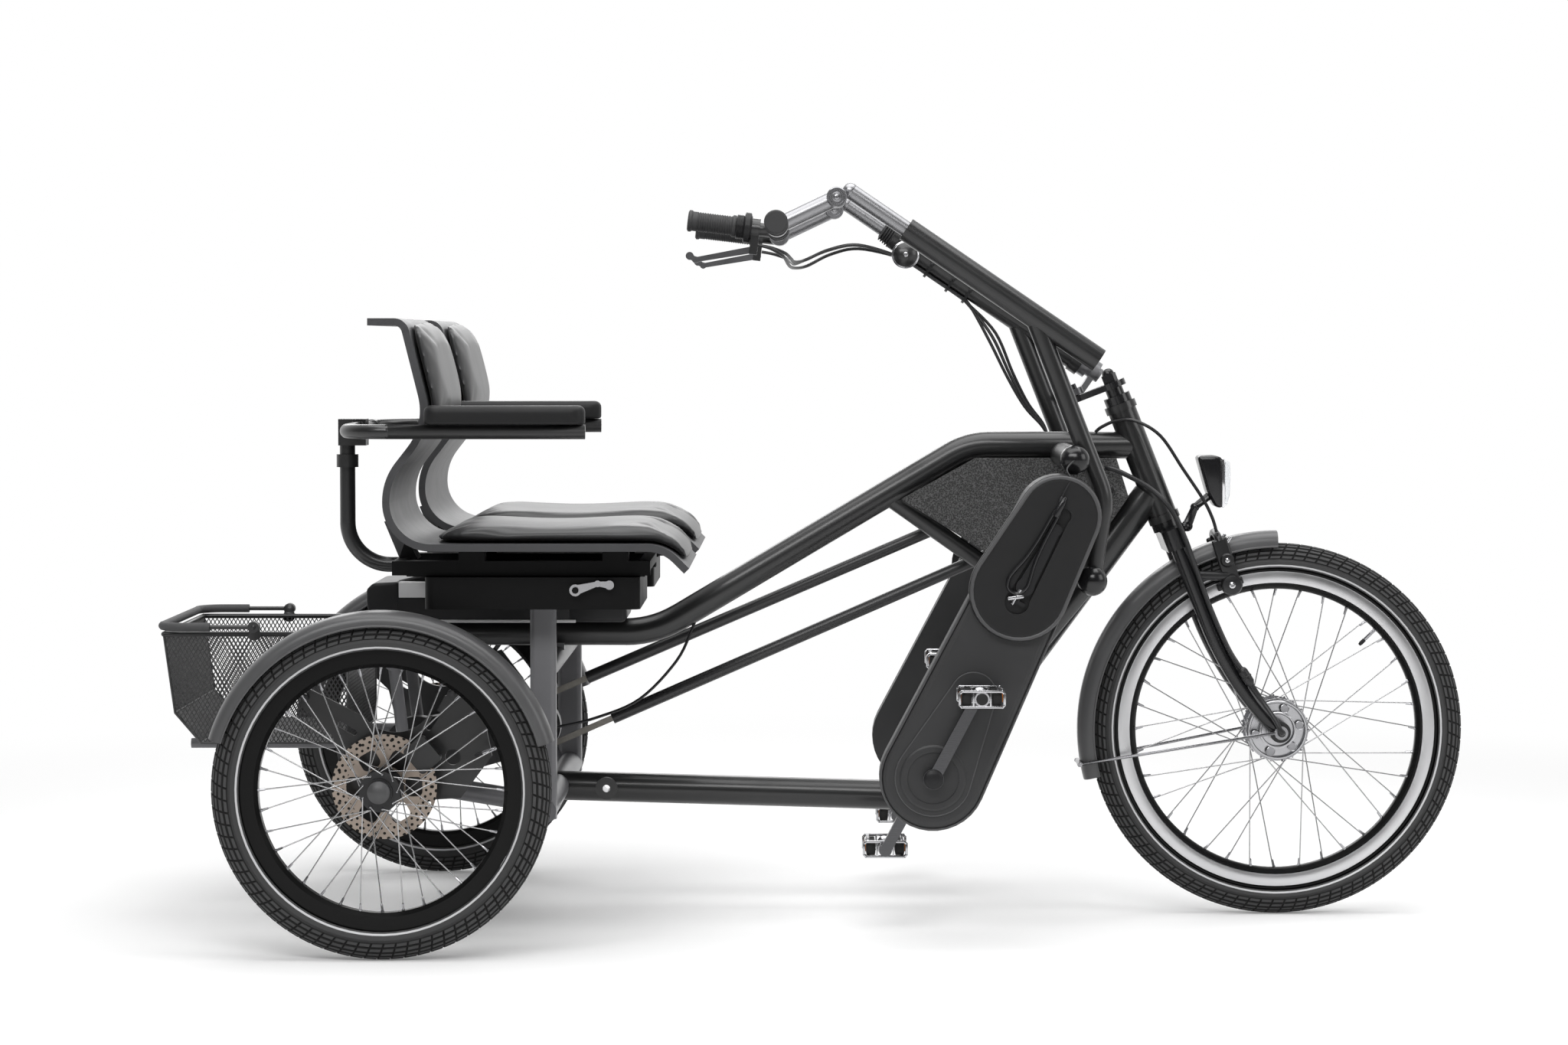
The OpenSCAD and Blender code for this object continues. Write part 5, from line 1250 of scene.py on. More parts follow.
@dataclass
class SeatPads:
    """The vinyl cushions of both seats, swollen from the solids by cloth simulation."""

    voxel: float = 6.0
    shrink: float = 2.2
    reach: float = 7.0
    pressure: float = 4.0
    frames: int = 20
    dip: float = 4.5
    hold: float = 7.0
    ease: float = 3.0
    stiffness: float = 18.0
    relax: int = 9
    fill: float = 0.85
    pads: tuple[str, ...] = ("seat_pad", "back_pad")

    def build(self) -> None:
        """Makes each right cushion, and its mirror on the left seat."""
        for pad in self.pads:
            mesh = self.swell(f"right_{pad}")
            self.show(f"right_{pad}", mesh, "right_seat")
            self.show(f"left_{pad}", self.mirrored(mesh), "left_seat")

    def swell(self, node: str) -> Mesh:
        """Remeshes a solid cushion and blows it up against its own skin.

        Args:
            node: Name of the solid cushion.

        Returns:
            The mesh of the swollen cushion.
        """
        bm = bmesh.new()
        bm.from_mesh(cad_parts[node].data)
        bmesh.ops.remove_doubles(bm, verts=bm.verts, dist=MERGE)
        bm.normal_update()
        for v in bm.verts:
            v.co -= v.normal * self.shrink * MM
        mesh = bpy.data.meshes.new(node)
        bm.to_mesh(mesh)
        bm.free()
        holder = bpy.data.objects.new(f"{node}_cloth", mesh)
        bpy.context.scene.collection.objects.link(holder)
        remesh = holder.modifiers.new("remesh", "REMESH")
        remesh.mode = "VOXEL"
        remesh.voxel_size = self.voxel * MM
        self.applied(holder)
        # Points near the shell are held, and the others are free to swell.
        shell = BVHTree.FromPolygons(*self.shell_faces())
        base = holder.vertex_groups.new(name="base")
        start = [v.co.copy() for v in holder.data.vertices]
        for i, place in enumerate(start):
            gap = shell.find_nearest(place)[3] / MM
            weight = max(0.0, min(1.0, (self.hold - gap) / self.ease))
            base.add([i], weight, "REPLACE")
        self.cloth(holder, start)
        if node.endswith("seat_pad"):
            self.hollow(holder.data)
        relax = holder.modifiers.new("relax", "SMOOTH")
        relax.factor = 0.5
        relax.iterations = self.relax
        finer = holder.modifiers.new("finer", "SUBSURF")
        finer.levels = finer.render_levels = 1
        self.applied(holder)
        mesh = holder.data
        bpy.data.objects.remove(holder)
        return mesh

    def hollow(self, mesh: Mesh) -> None:
        """Sinks the middle of a seat cushion a little, as where a rider sits.

        Args:
            mesh: The cushion.
        """
        xs = [v.co.x for v in mesh.vertices]
        zs = [v.co.z for v in mesh.vertices]
        middle, reach = 0.55 * min(xs) + 0.45 * max(xs), 0.33 * (max(xs) - min(xs))
        low = max(zs) - 14 * MM
        for v in mesh.vertices:
            along = max(0.0, 1 - ((v.co.x - middle) / reach) ** 2)
            high = max(0.0, min(1.0, (v.co.z - low) / (8 * MM)))
            v.co.z -= self.dip * MM * along * along * high

    @staticmethod
    def shell_faces() -> tuple[list[Vector], list[tuple[int, ...]]]:
        """Vertices and faces of the seat shell that a cushion lies on."""
        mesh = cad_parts["right_seat_shell"].data
        return [v.co.copy() for v in mesh.vertices], [tuple(p.vertices) for p in mesh.polygons]

    def cloth(self, holder: Object, start: list[Vector]) -> None:
        """Runs the simulation and caps how far a point may move.

        Args:
            holder: The object that swells.
            start: Its points before.
        """
        scene = bpy.context.scene
        cloth = holder.modifiers.new("swell", "CLOTH")
        cloth.settings.use_pressure = True
        cloth.settings.uniform_pressure_force = self.pressure
        cloth.settings.effector_weights.gravity = 0.0
        cloth.settings.vertex_group_mass = "base"
        cloth.settings.tension_stiffness = self.stiffness
        cloth.settings.compression_stiffness = self.stiffness
        cloth.settings.quality = 5
        cloth.collision_settings.use_collision = False
        cloth.point_cache.frame_start, cloth.point_cache.frame_end = 1, self.frames
        for number in range(1, self.frames + 1):
            scene.frame_set(number)
        self.applied(holder)
        for v, before in zip(holder.data.vertices, start):
            move = v.co - before
            if move.length > self.reach * MM:
                v.co = before + move.normalized() * self.reach * MM
        scene.frame_set(1)

    @staticmethod
    def applied(holder: Object) -> None:
        """Bakes an object's modifiers into its mesh.

        Args:
            holder: The object.
        """
        deps = bpy.context.evaluated_depsgraph_get()
        deps.update()
        mesh = bpy.data.meshes.new_from_object(holder.evaluated_get(deps))
        holder.modifiers.clear()
        holder.data = mesh

    @staticmethod
    def mirrored(mesh: Mesh) -> Mesh:
        """A copy of a mesh on the other side of the middle plane.

        Args:
            mesh: The mesh.

        Returns:
            The copy.
        """
        bm = bmesh.new()
        bm.from_mesh(mesh)
        bmesh.ops.scale(bm, vec=(1, -1, 1), verts=bm.verts)
        bmesh.ops.reverse_faces(bm, faces=bm.faces)
        other = bpy.data.meshes.new(mesh.name)
        bm.to_mesh(other)
        bm.free()
        return other

    def show(self, node: str, mesh: Mesh, body: str) -> None:
        """Puts a cushion in place of its solid.

        Args:
            node: Name of the solid.
            mesh: The cushion.
            body: The body that carries it.
        """
        bm = bmesh.new()
        bm.from_mesh(mesh)
        made = piece(f"{node}_cushion", bm, PAD_VINYL, body, node, crease=180)


# Basket


@dataclass
class Basket:
    """The rear basket of expanded mesh with its rim."""

    outline: tuple[tuple[float, float], ...] = (
        (-375, 472), (-358, 347), (-317, 299), (-85, 299), (-85, 472))
    half: float = 200.0
    inset: float = 1.5
    cell: tuple[float, float] = (7.0, 12.0)
    strand: float = 0.8
    plate: float = 1.0

    @property
    def wall_y(self) -> float:
        """Distance of the side walls from the middle plane."""
        return self.half - self.inset

    def build(self) -> None:
        """Makes the six walls and the rim."""
        for side, name in ((-1, "near"), (1, "far")):
            points = [at(x, side * self.wall_y, z) for x, z in self.outline]
            self.wall(f"basket_side_{name}", points, "basket" if side < 0 else None)
        names = ("rear_top", "rear_low", "floor", "front")
        for name, (x0, z0), (x1, z1) in zip(names, self.outline, self.outline[1:]):
            corners = [at(x0, -self.wall_y, z0), at(x0, self.wall_y, z0),
                       at(x1, self.wall_y, z1), at(x1, -self.wall_y, z1)]
            self.wall(f"basket_{name}", corners, None)
        self.rim()

    def wall(self, name: str, corners: list[Vector], stands_for: str | None) -> None:
        """Cuts one flat wall out of a diamond lattice.

        Args:
            name: Name of the piece.
            corners: Its corners, in order.
            stands_for: The solid that it replaces.
        """
        middle = sum(corners, Vector()) / len(corners)
        normal = (corners[1] - corners[0]).cross(corners[2] - corners[1]).normalized()
        rise = Vector((0, 0, 1)) if abs(normal.z) < 0.9 else Vector((1, 0, 0))
        across = rise.cross(normal).normalized()
        rise = normal.cross(across)
        reach = max((c - middle).length for c in corners)
        count = int(2.2 * reach / (self.cell[0] * MM)) + 8
        bm = bmesh.new()
        # Squares whose diagonal is one, stood on a corner and then stretched to the cell.
        bmesh.ops.create_grid(bm, x_segments=count, y_segments=count, size=count / 2 / math.sqrt(2))
        bmesh.ops.rotate(bm, verts=bm.verts, cent=(0, 0, 0), matrix=Matrix.Rotation(math.pi / 4, 3, "Z"))
        bmesh.ops.scale(bm, vec=(self.cell[0] * MM, self.cell[1] * MM, 1), verts=bm.verts)
        basis = Matrix((across, rise, normal)).transposed().to_4x4()
        bmesh.ops.transform(bm, matrix=Matrix.Translation(middle) @ basis, verts=bm.verts)
        for a, b in zip(corners, corners[1:] + corners[:1]):
            edge_out = (b - a).cross(normal)
            bmesh.ops.bisect_plane(bm, geom=bm.verts[:] + bm.edges[:] + bm.faces[:], plane_co=a,
                                   plane_no=edge_out, clear_outer=True, dist=MERGE)
        whole = 0.5 * self.cell[0] * self.cell[1] * MM * MM
        cells = [f for f in bm.faces if f.calc_area() > 0.3 * whole]
        bmesh.ops.inset_individual(bm, faces=cells, thickness=self.strand * MM, use_even_offset=True)
        bmesh.ops.delete(bm, geom=cells, context="FACES")
        bmesh.ops.solidify(bm, geom=bm.faces[:], thickness=self.plate * MM)
        outwards(bm)
        piece(name, bm, BASKET_COAT, "frame", *([stands_for] if stands_for else []))

    def rim(self) -> None:
        """The rim wire, its pivots and the wires along the folds."""
        bm = node_faces("basket", lambda p: p.z > 472.5 or abs(p.y) > self.half + 0.5
                        or (p.z > 467.5 and (p.x < -371.5 or p.x > -89 or abs(p.y) > 196.5)))
        for side in (-1, 1):
            join(bm, tube([at(x, side * self.wall_y, z) for x, z in self.outline], 2.2))
        for x, z in self.outline[1:4]:
            join(bm, tube([at(x, -self.wall_y, z), at(x, self.wall_y, z)], 2.0))
        piece("basket_rim", bm, BASKET_COAT, "frame")


# Drive


@dataclass(frozen=True)
class ChainLoop:
    """The line of a chain round two sprockets, in a plane across the object."""

    x0: float
    z0: float
    r0: float
    x1: float
    z1: float
    r1: float
    y: float

    @property
    def span(self) -> float:
        """Distance between the middles of the sprockets."""
        return math.hypot(self.x1 - self.x0, self.z1 - self.z0)

    @property
    def slip(self) -> float:
        """Angle between a straight run and the line of middles."""
        return math.asin((self.r0 - self.r1) / self.span)

    @property
    def lean(self) -> float:
        """Angle of the line of middles."""
        return math.atan2(self.z1 - self.z0, self.x1 - self.x0)

    @property
    def run(self) -> float:
        """Length of a straight run."""
        return math.sqrt(self.span * self.span - (self.r0 - self.r1) ** 2)

    @property
    def arc(self) -> float:
        """Length of the arc on the second sprocket."""
        return self.r1 * (math.pi - 2 * self.slip)

    @property
    def length(self) -> float:
        """Length of the whole loop."""
        return 2 * self.run + self.r0 * (math.pi + 2 * self.slip) + self.arc

    def along(self, d: float) -> tuple[float, float, float]:
        """Place and heading at a distance along the loop.

        Args:
            d: The distance, in millimetres.

        Returns:
            X, Z and the heading.
        """
        run, arc = self.run, self.arc
        a = self.lean - self.slip
        if d < run:
            return (self.x0 - self.r0 * math.sin(a) + d * math.cos(a),
                    self.z0 + self.r0 * math.cos(a) + d * math.sin(a), a)
        if d < run + arc:
            a -= (d - run) / self.r1
            return self.x1 - self.r1 * math.sin(a), self.z1 + self.r1 * math.cos(a), a
        a = self.lean + self.slip
        if d < 2 * run + arc:
            e = d - run - arc
            return (self.x1 + self.r1 * math.sin(a) - e * math.cos(a),
                    self.z1 - self.r1 * math.cos(a) - e * math.sin(a), a + math.pi)
        a = a + math.pi - (d - 2 * run - arc) / self.r0
        return self.x0 - self.r0 * math.sin(a), self.z0 + self.r0 * math.cos(a), a


@dataclass
class Chain:
    """Roller chains: two loops inside the cases and one from the cross shaft to the rear hub."""

    pitch: float = 12.7
    plate_h: float = 9.6
    plate_t: float = 1.0
    roller_r: float = 3.8
    loops: tuple[ChainLoop, ...] = (
        ChainLoop(190, 300, 39.0, *SHAFT, 36.6, 40.0),
        ChainLoop(*CRANK, 70.0, *SHAFT, 36.6, -315.0),
        ChainLoop(*CRANK, 70.0, *SHAFT, 36.6, 315.0),
    )

    def build(self) -> None:
        """Lays links along each loop."""
        bm = bmesh.new()
        for loop in self.loops:
            self.lay(bm, loop)
        piece("roller_chains", bm, CHAIN_STEEL, "frame", "drive_chains")

    def lay(self, bm: BMesh, loop: ChainLoop) -> None:
        """Lays the links of one loop.

        Args:
            bm: The mesh that takes them.
            loop: The line of the chain.
        """
        count = 2 * round(loop.length / self.pitch / 2)
        step = loop.length / count
        for i in range(count):
            x, z, angle = loop.along(i * step)
            wide = 3.6 if i % 2 else 2.4
            place = Matrix.Translation(at(x, loop.y, z)) @ Matrix.Rotation(-angle, 4, "Y")
            for side in (-1, 1):
                plate = self.plate(step)
                bmesh.ops.translate(plate, verts=plate.verts, vec=(step / 2 * MM, side * wide * MM, 0))
                join(bm, plate, place)
            join(bm, lathe([(0, -4.4), (1.8, -4.4), (1.8, -1.9), (self.roller_r, -1.9), (self.roller_r, 1.9),
                            (1.8, 1.9), (1.8, 4.4), (0, 4.4)], 8),
                 place @ Matrix.Rotation(math.pi / 2, 4, "X"))

    def plate(self, step: float) -> BMesh:
        """One link plate with rounded ends, lying along X.

        Args:
            step: Distance between two rollers, in millimetres.

        Returns:
            The plate.
        """
        bm = cuboid(step + self.plate_h * 0.9, self.plate_t, self.plate_h)
        upright = [e for e in bm.edges if abs(e.verts[0].co.y - e.verts[1].co.y) > 1e-5]
        round_edges(bm, upright, 3.0, 2)
        return bm


@dataclass
class Pedal:
    """A cage pedal: two end frames, a barrel, rubber treads and amber reflectors."""

    side: str
    tread: tuple[float, float, float] = (15.0, 78.0, 21.0)
    bar: float = 4.2
    barrel_r: float = 9.5

    def build(self) -> None:
        """Makes the pedal inside the box of its solid."""
        body = f"{self.side}_pedal"
        lo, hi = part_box(body)
        middle, size = (lo + hi) / 2, (hi - lo) / MM
        out = math.copysign(1.0, middle.y - math.copysign(RIDER_Y * MM, middle.y))
        place = Matrix.Translation(middle)
        cage, rubber = bmesh.new(), bmesh.new()
        for end in (-1, 1):
            self.end_frame(cage, size, place @ Matrix.Translation((0, end * (size.y / 2 - 3.5) * MM, 0)))
        along = facing(Vector((0, -size.y / 2 * MM, 0)), Vector((0, 1, 0)))
        join(cage, lathe([(6.2, 2), (self.barrel_r + 2, 2), (self.barrel_r + 2, 12),
                          (self.barrel_r - 1.5, 16), (self.barrel_r - 1.5, size.y - 16),
                          (self.barrel_r + 2, size.y - 12), (self.barrel_r + 2, size.y - 2),
                          (6.2, size.y - 2)], 28), place @ along)
        for x in (-1, 1):
            for z in (-1, 1):
                join(cage, block((5.0, size.y - 4, 3.4), 1.1), place @ Matrix.Translation(
                    (x * (size.x / 2 - 9) * MM, 0, z * (size.z / 2 - 2.4) * MM)))
            self.rubber_tread(rubber, place @ Matrix.Translation((x * (size.x / 2 - 13) * MM, 0, 0)))
        cap = facing(Vector((0, out * (size.y / 2 - 1) * MM, 0)), Vector((0, out, 0)))
        join(rubber, lathe([(0, 2.2), (5, 2.0), (8.2, 1.2), (9, 0), (9, -3)], 24), place @ cap)
        piece(f"{self.side}_pedal_cage", cage, ALLOY, body, body)
        piece(f"{self.side}_pedal_treads", rubber, PITCH_RUBBER, body)
        glint = bmesh.new()
        for x in (-1, 1):
            join(glint, block((3.0, 50.0, 12.0), 0.8),
                 place @ Matrix.Translation((x * (size.x / 2 - 4) * MM, 0, 0)))
        piece(f"{self.side}_reflectors", glint, AMBER_REFLEX, body)

    def end_frame(self, cage: BMesh, size: Vector, place: Matrix) -> None:
        """Adds one end frame with a square in its middle.

        Args:
            cage: The mesh that takes it.
            size: Size of the pedal in millimetres.
            place: Where the frame stands.
        """
        deep = 6.0
        for z in (-1, 1):
            join(cage, block((size.x - 6, deep, self.bar), 1.5), place @ Matrix.Translation(
                (0, 0, z * (size.z / 2 - self.bar / 2) * MM)))
        for x in (-1, 1):
            join(cage, block((self.bar, deep, size.z - 7), 1.5), place @ Matrix.Translation(
                (x * (size.x / 2 - self.bar / 2) * MM, 0, 0)))
            join(cage, block((3.0, deep - 1, size.z - 5), 1.0),
                 place @ Matrix.Translation((x * 13 * MM, 0, 0)))
            for z in (-1, 1):
                corner = block((self.bar + 4.5, deep, self.bar), 1.4)
                turn = Matrix.Rotation(x * z * math.pi / 4, 4, "Y")
                join(cage, corner, place @ Matrix.Translation(
                    (x * (size.x / 2 - 3.8) * MM, 0, z * (size.z / 2 - 3.8) * MM)) @ turn)

    def rubber_tread(self, rubber: BMesh, place: Matrix) -> None:
        """Adds one rubber bar with ribs above and below.

        Args:
            rubber: The mesh that takes it.
            place: Where the bar stands.
        """
        wide, long, high = self.tread
        join(rubber, block((wide, long, high - 5), 2.0), place)
        for k in range(7):
            rib = block((wide - 1, 6.5, high), 1.2)
            join(rubber, rib, place @ Matrix.Translation((0, (k - 3) * 11.0 * MM, 0)))


@dataclass
class CaseTrim:
    """Rims, latch, crank seal darkened with painted shade, and relief on the outer faces of the chain cases.
    """

    cover_low: tuple[float, float] = (970.0, 550.0)
    latch_top: tuple[float, float] = (1028.0, 673.0)
    latch_low: tuple[float, float] = (962.0, 555.0)
    latch_half: tuple[tuple[float, float], ...] = (
        (0, 4), (50, 5), (85, 8), (108, 13), (124, 15.5), (135, 12), (141, 5))

    def build(self) -> None:
        """Makes the trim of both cases."""
        edge, seal, ring, latch, bright = (bmesh.new() for _ in range(5))
        for side in (-1, 1):
            self.rims(edge, side)
            out = Vector((0, side, 0))
            spot = at(CRANK[0], side * 344.0, CRANK[1])
            # A near-black disc fills the recess round the crank: the seal's black rubber, darkened as painted
            # shade of the recess.
            join(seal, lathe([(9.5, -2.4), (39, -2.4), (39.4, -2.8), (39.4, -5), (9.5, -5), (9.5, -2.4)], 40),
                 facing(spot, out))
            join(ring, lathe([(40, -3), (40, 0.2), (41.5, 0.6), (44, 0.4), (46.5, 0.6), (48.5, 0.6),
                              (51.5, -0.8), (53, -4.6), (40, -4.6), (40, -3)], 56), facing(spot, out))
            join(latch, tube(self.latch_line(side), 3.1, cyclic=True))
            top, way = self.latch_top, self.latch_way()
            join(latch, lathe([(0, -8), (5.4, -8), (6, -4), (6, 14), (4, 22), (2, 26), (0, 26)], 20),
                 facing(at(top[0], side * 357, top[1]), way))
            tee = at(self.latch_low[0] + 2, side * 357, self.latch_low[1] - 14)
            join(bright, block((25, 4.5, 5.5), 1.6),
                 Matrix.Translation(tee) @ Matrix.Rotation(math.radians(-8), 4, "Y"))
            join(bright, lathe([(0, -12), (2.2, -12), (2.2, 8), (3.6, 9), (3.6, 14), (0, 14)], 14),
                 facing(tee, way))
        # The beads are paler than the case: a painted highlight along its edges.
        piece("case_cover_rims", edge, CASE_EDGE, "frame", crease=50)
        piece("crank_seals_shaded", seal, PITCH_RUBBER, "frame")
        piece("crank_rings", ring, CASE_PLASTIC, "frame", crease=50)
        piece("latch_handles", latch, FORK_PAINT, "frame")
        piece("latch_tees", bright, ALLOY, "frame")
        for side, name in ((-1, "right"), (1, "left")):
            caps = bmesh.new()
            for y in (352.0 + 7, 188.0 - 7):
                out = Vector((0, side * math.copysign(1, y - RIDER_Y), 0))
                join(caps, lathe([(15.4, -1), (15.4, 1.6), (14, 3.6), (8, 5.4), (0, 6)], 32),
                     facing(at(CRANK[0], side * y, CRANK[1]), out))
            piece(f"{name}_crank_caps", caps, BLACK_PLASTIC, f"{name}_crank", crease=50)

    def latch_way(self) -> Vector:
        """Direction up along the latch."""
        return Vector((self.latch_top[0] - self.latch_low[0], 0,
                       self.latch_top[1] - self.latch_low[1])).normalized()

    def latch_line(self, side: int) -> list[Vector]:
        """The closed line of the latch's handle, narrow at its top.

        Args:
            side: Which case, -1 near and 1 far.

        Returns:
            Its points.
        """
        way = self.latch_way()
        across = Vector((way.z, 0, -way.x))
        top = at(self.latch_top[0], side * 357.4, self.latch_top[1])
        down = [*self.latch_half] + [(s, -w) for s, w in reversed(self.latch_half)]
        points = [top + (across * w - way * s) * MM for s, w in down]
        return smooth_line(points + points[:1], 4)[:-1]

    def rims(self, edge: BMesh, side: int) -> None:
        """Adds the raised beads along the edges of a case, its cover and its relief.

        Args:
            edge: The mesh that takes them.
            side: Which case, -1 near and 1 far.
        """
        join(edge, tube(link_line(self.cover_low, 73.5, SHAFT, 60.5, side * 352.2), 3.2, cyclic=True))
        join(edge, tube(link_line(CRANK, 81.0, SHAFT, 63.0, side * 336.8), 1.8, cyclic=True))
        join(edge, tube(link_line(CRANK, 59.0, RELIEF_TOP, 35.0, side * 341.6), 1.1, cyclic=True))


# Controls


@dataclass
class Grips:
    """Ribbed rubber grips of both bars, and the twist shifter."""

    origin: tuple[float, float] = (566.15, 1117.71)
    back: tuple[float, float] = (-0.99255, 0.12187)
    reach: float = 235.0
    radius: float = 16.0
    passenger_bar: tuple[float, float] = (595.93, 1114.05)

    def build(self) -> None:
        """Makes the driver's grips, the shifter's drum and the passenger's ribbed sleeves."""
        back = Vector((self.back[0], 0, self.back[1]))
        grips = bmesh.new()
        for side, start in ((-1, 40.0), (1, 15.0)):
            place = at(self.origin[0], RIDER_Y + side * self.reach, self.origin[1])
            join(grips, self.sleeve(start, 119.0), facing(place, back))
        piece("driver_grip_sleeves", grips, GRIP_RUBBER, "column", "driver_grips")
        place = at(self.origin[0], RIDER_Y - self.reach, self.origin[1])
        drum = lathe(self.shifter_profile(), 40)
        bmesh.ops.transform(drum, matrix=facing(place, back), verts=drum.verts)
        piece("shifter_drum", drum, BLACK_PLASTIC, "gear_shifter", "gear_shifter")
        ribs = bmesh.new()
        for side in (-1, 1):
            spot = at(self.passenger_bar[0], -RIDER_Y + side * 82.0, self.passenger_bar[1])
            join(ribs, self.sleeve(0.5, 119.5, 16.3), facing(spot, Vector((0, side, 0))))
        piece("passenger_grip_sleeves", ribs, GRIP_RUBBER, "frame")

    def sleeve(self, start: float, end: float, radius: float | None = None) -> BMesh:
        """A grip with a collar at each end and ribs between.

        Args:
            start: Where it begins along the bar.
            end: Where it ends.
            radius: Radius over the ribs.

        Returns:
            The sleeve along local Z.
        """
        r = radius or self.radius
        low = start + 9
        profile = [(11.3, start), (r + 1.4, start), (r + 2.0, start + 1.5), (r + 2.0, start + 5),
                   (r, start + 7)]
        count = int((end - 12 - low) / 4)
        for i in range(count):
            z = low + i * 4
            profile += [(r - 1.0, z), (r - 1.0, z + 1.2), (r, z + 1.8), (r, z + 3.4)]
        profile += [(r, end - 8), (r + 1.6, end - 6), (r + 1.8, end - 2), (r - 1, end), (0, end)]
        return lathe(profile, 36)

    def shifter_profile(self) -> list[tuple[float, float]]:
        """The outline of the shifter's drum with its ribs.

        Returns:
            Radius and height of each point.
        """
        profile = [(11.2, 14), (19.2, 14), (20, 15), (24, 16), (25, 17.2), (25, 24.8), (24, 26), (20, 27)]
        for i in range(4):
            z = 28 + i * 2.6
            profile += [(19.0, z), (19.0, z + 0.8), (20.0, z + 1.2), (20.0, z + 2.2)]
        return profile + [(18.5, 39.4), (11.2, 39.4)]


@dataclass
class Cables:
    """Brake and gear cables from the driver's bar to the frame, and the lines to the front wheel."""

    radius: float = 2.75
    apart: float = 6.0
    seats: tuple[tuple[float, float], ...] = ((345, 3), (315, 0), (270, 0), (225, 0), (200, 3))
    ends: tuple[tuple[float, float, float], ...] = (
        (957, -11, 943), (987, -18, 878), (1014, -22, 828), (1041, -24, 795), (1051, -25, 774))
    starts: tuple[tuple[tuple[float, float, float], ...], ...] = (
        ((563.2, -225.5, 1092), (584, -224, 1088), (606, -204, 1080), (616, -160, 1072), (622, -90, 1068),
         (640, -40, 1072), (680, -18, 1090), (730, -13, 1098)),
        ((563.2, -244.5, 1092), (584, -246, 1086), (604, -222, 1074), (612, -160, 1062), (620, -84, 1058),
         (642, -30, 1062), (682, -6, 1082), (730, -1, 1092)),
        ((563.2, 225.5, 1092), (584, 224, 1088), (606, 204, 1080), (616, 160, 1072), (622, 90, 1068),
         (640, 44, 1074), (680, 20, 1090), (730, 13, 1098)),
    )
    hose: tuple[tuple[float, float, float], ...] = (
        (1112, -10, 787.6), (1122, -14, 796), (1145, -22, 806), (1175, -34, 806), (1215, -38, 782),
        (1252, -38, 728), (1284, -40, 680), (1299, -41.5, 650), (1306.2, -41.5, 626.6))
    lead: tuple[tuple[float, float, float], ...] = (
        (1130, -29.35, 730), (1130, -42, 730), (1149, -52, 724), (1196, -60, 698), (1228, -74, 666),
        (1250, -80, 622), (1268, -74, 574), (1294, -73, 504), (1323, -73, 439), (1346, -77, 403))
    tail: tuple[tuple[float, float, float], ...] = (
        (1357, -77, 386), (1376, -83, 357), (1395, -95, 328), (1406, -101, 307), (1408, -91, 303.5))

    def on_column(self, k: int, d: float, lift: float) -> Vector:
        """Place of a cable that lies against the underside of the driver's column.

        Args:
            k: Which cable, -1 to 1.
            d: Distance up the column, in millimetres.
            lift: Distance from the column's skin.

        Returns:
            The place.
        """
        r = 19 + self.radius + 0.6 + lift
        turn = math.radians(16 * k)
        axis = column_axis()
        under = Vector((-axis.z, 0, axis.x))
        place = Vector((COLUMN_LOW[0], 0, COLUMN_LOW[1])) + d * axis + r * math.cos(turn) * under
        return at(place.x, RIDER_Y + r * math.sin(turn), place.z)

    def build(self) -> None:
        """Makes each cable and leaves it fixed where it is laid."""
        for k, start in zip((-1, 0, 1), self.starts):
            points = [at(x, RIDER_Y + y, z) for x, y, z in start]
            points += [self.on_column(k, d, lift) for d, lift in self.seats]
            for i, (x, y, z) in enumerate(self.ends):
                apart = self.apart * k * max(0.0, 1 - i / 4)
                points.append(at(x + apart, RIDER_Y + y + 8 * k, z + apart))
            name = ("near", "middle", "far")[k + 1]
            self.flexing(f"control_cable_{name}", points, self.radius, "column", "frame", points[6],
                         points[9], "control_cables" if k == 0 else None)
        hose = [at(*p) for p in self.hose]
        self.flexing("brake_hose", hose, self.radius, "frame", "fork", hose[1], hose[6], "front_cables")
        lead = [at(*p) for p in self.lead]
        self.flexing("motor_lead", lead, 4.0, "frame", "fork", lead[1], lead[5], None)
        tail = tube(smooth_line([at(*p) for p in self.tail]), 4.0)
        a, b = at(*self.lead[-1]), at(*self.tail[0])
        way = (b - a).normalized()
        span = (b - a).length / MM
        plug = lathe([(4.2, -6), (6.5, -4), (8, 0), (8, span * 0.45), (8.8, span * 0.48), (8.8, span * 0.6),
                      (8, span * 0.63), (8, span), (6.0, span + 4), (4.2, span + 7)], 20)
        join(tail, plug, facing(a, way))
        piece("motor_lead_tail", tail, CABLE_SKIN, "fork")

    @staticmethod
    def flexing(name: str, points: list[Vector], radius: float, near: str, far: str, start: Vector,
                end: Vector, stands_for: str | None) -> None:
        """Makes one cable that bends between two bodies.

        Args:
            name: Name of the piece.
            points: The places that it passes.
            radius: Its radius in millimetres.
            near: The body at its first end.
            far: The body at its other end; not used.
            start: Where it begins to leave the first body; not used.
            end: Where it follows the other; not used.
            stands_for: The solid that it replaces.
        """
        made = piece(name, tube(smooth_line(points), radius), CABLE_SKIN, near,
                     *([stands_for] if stands_for else []))
        # It comes off the first body and stays where it is.
        made.parent = None
        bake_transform(made)


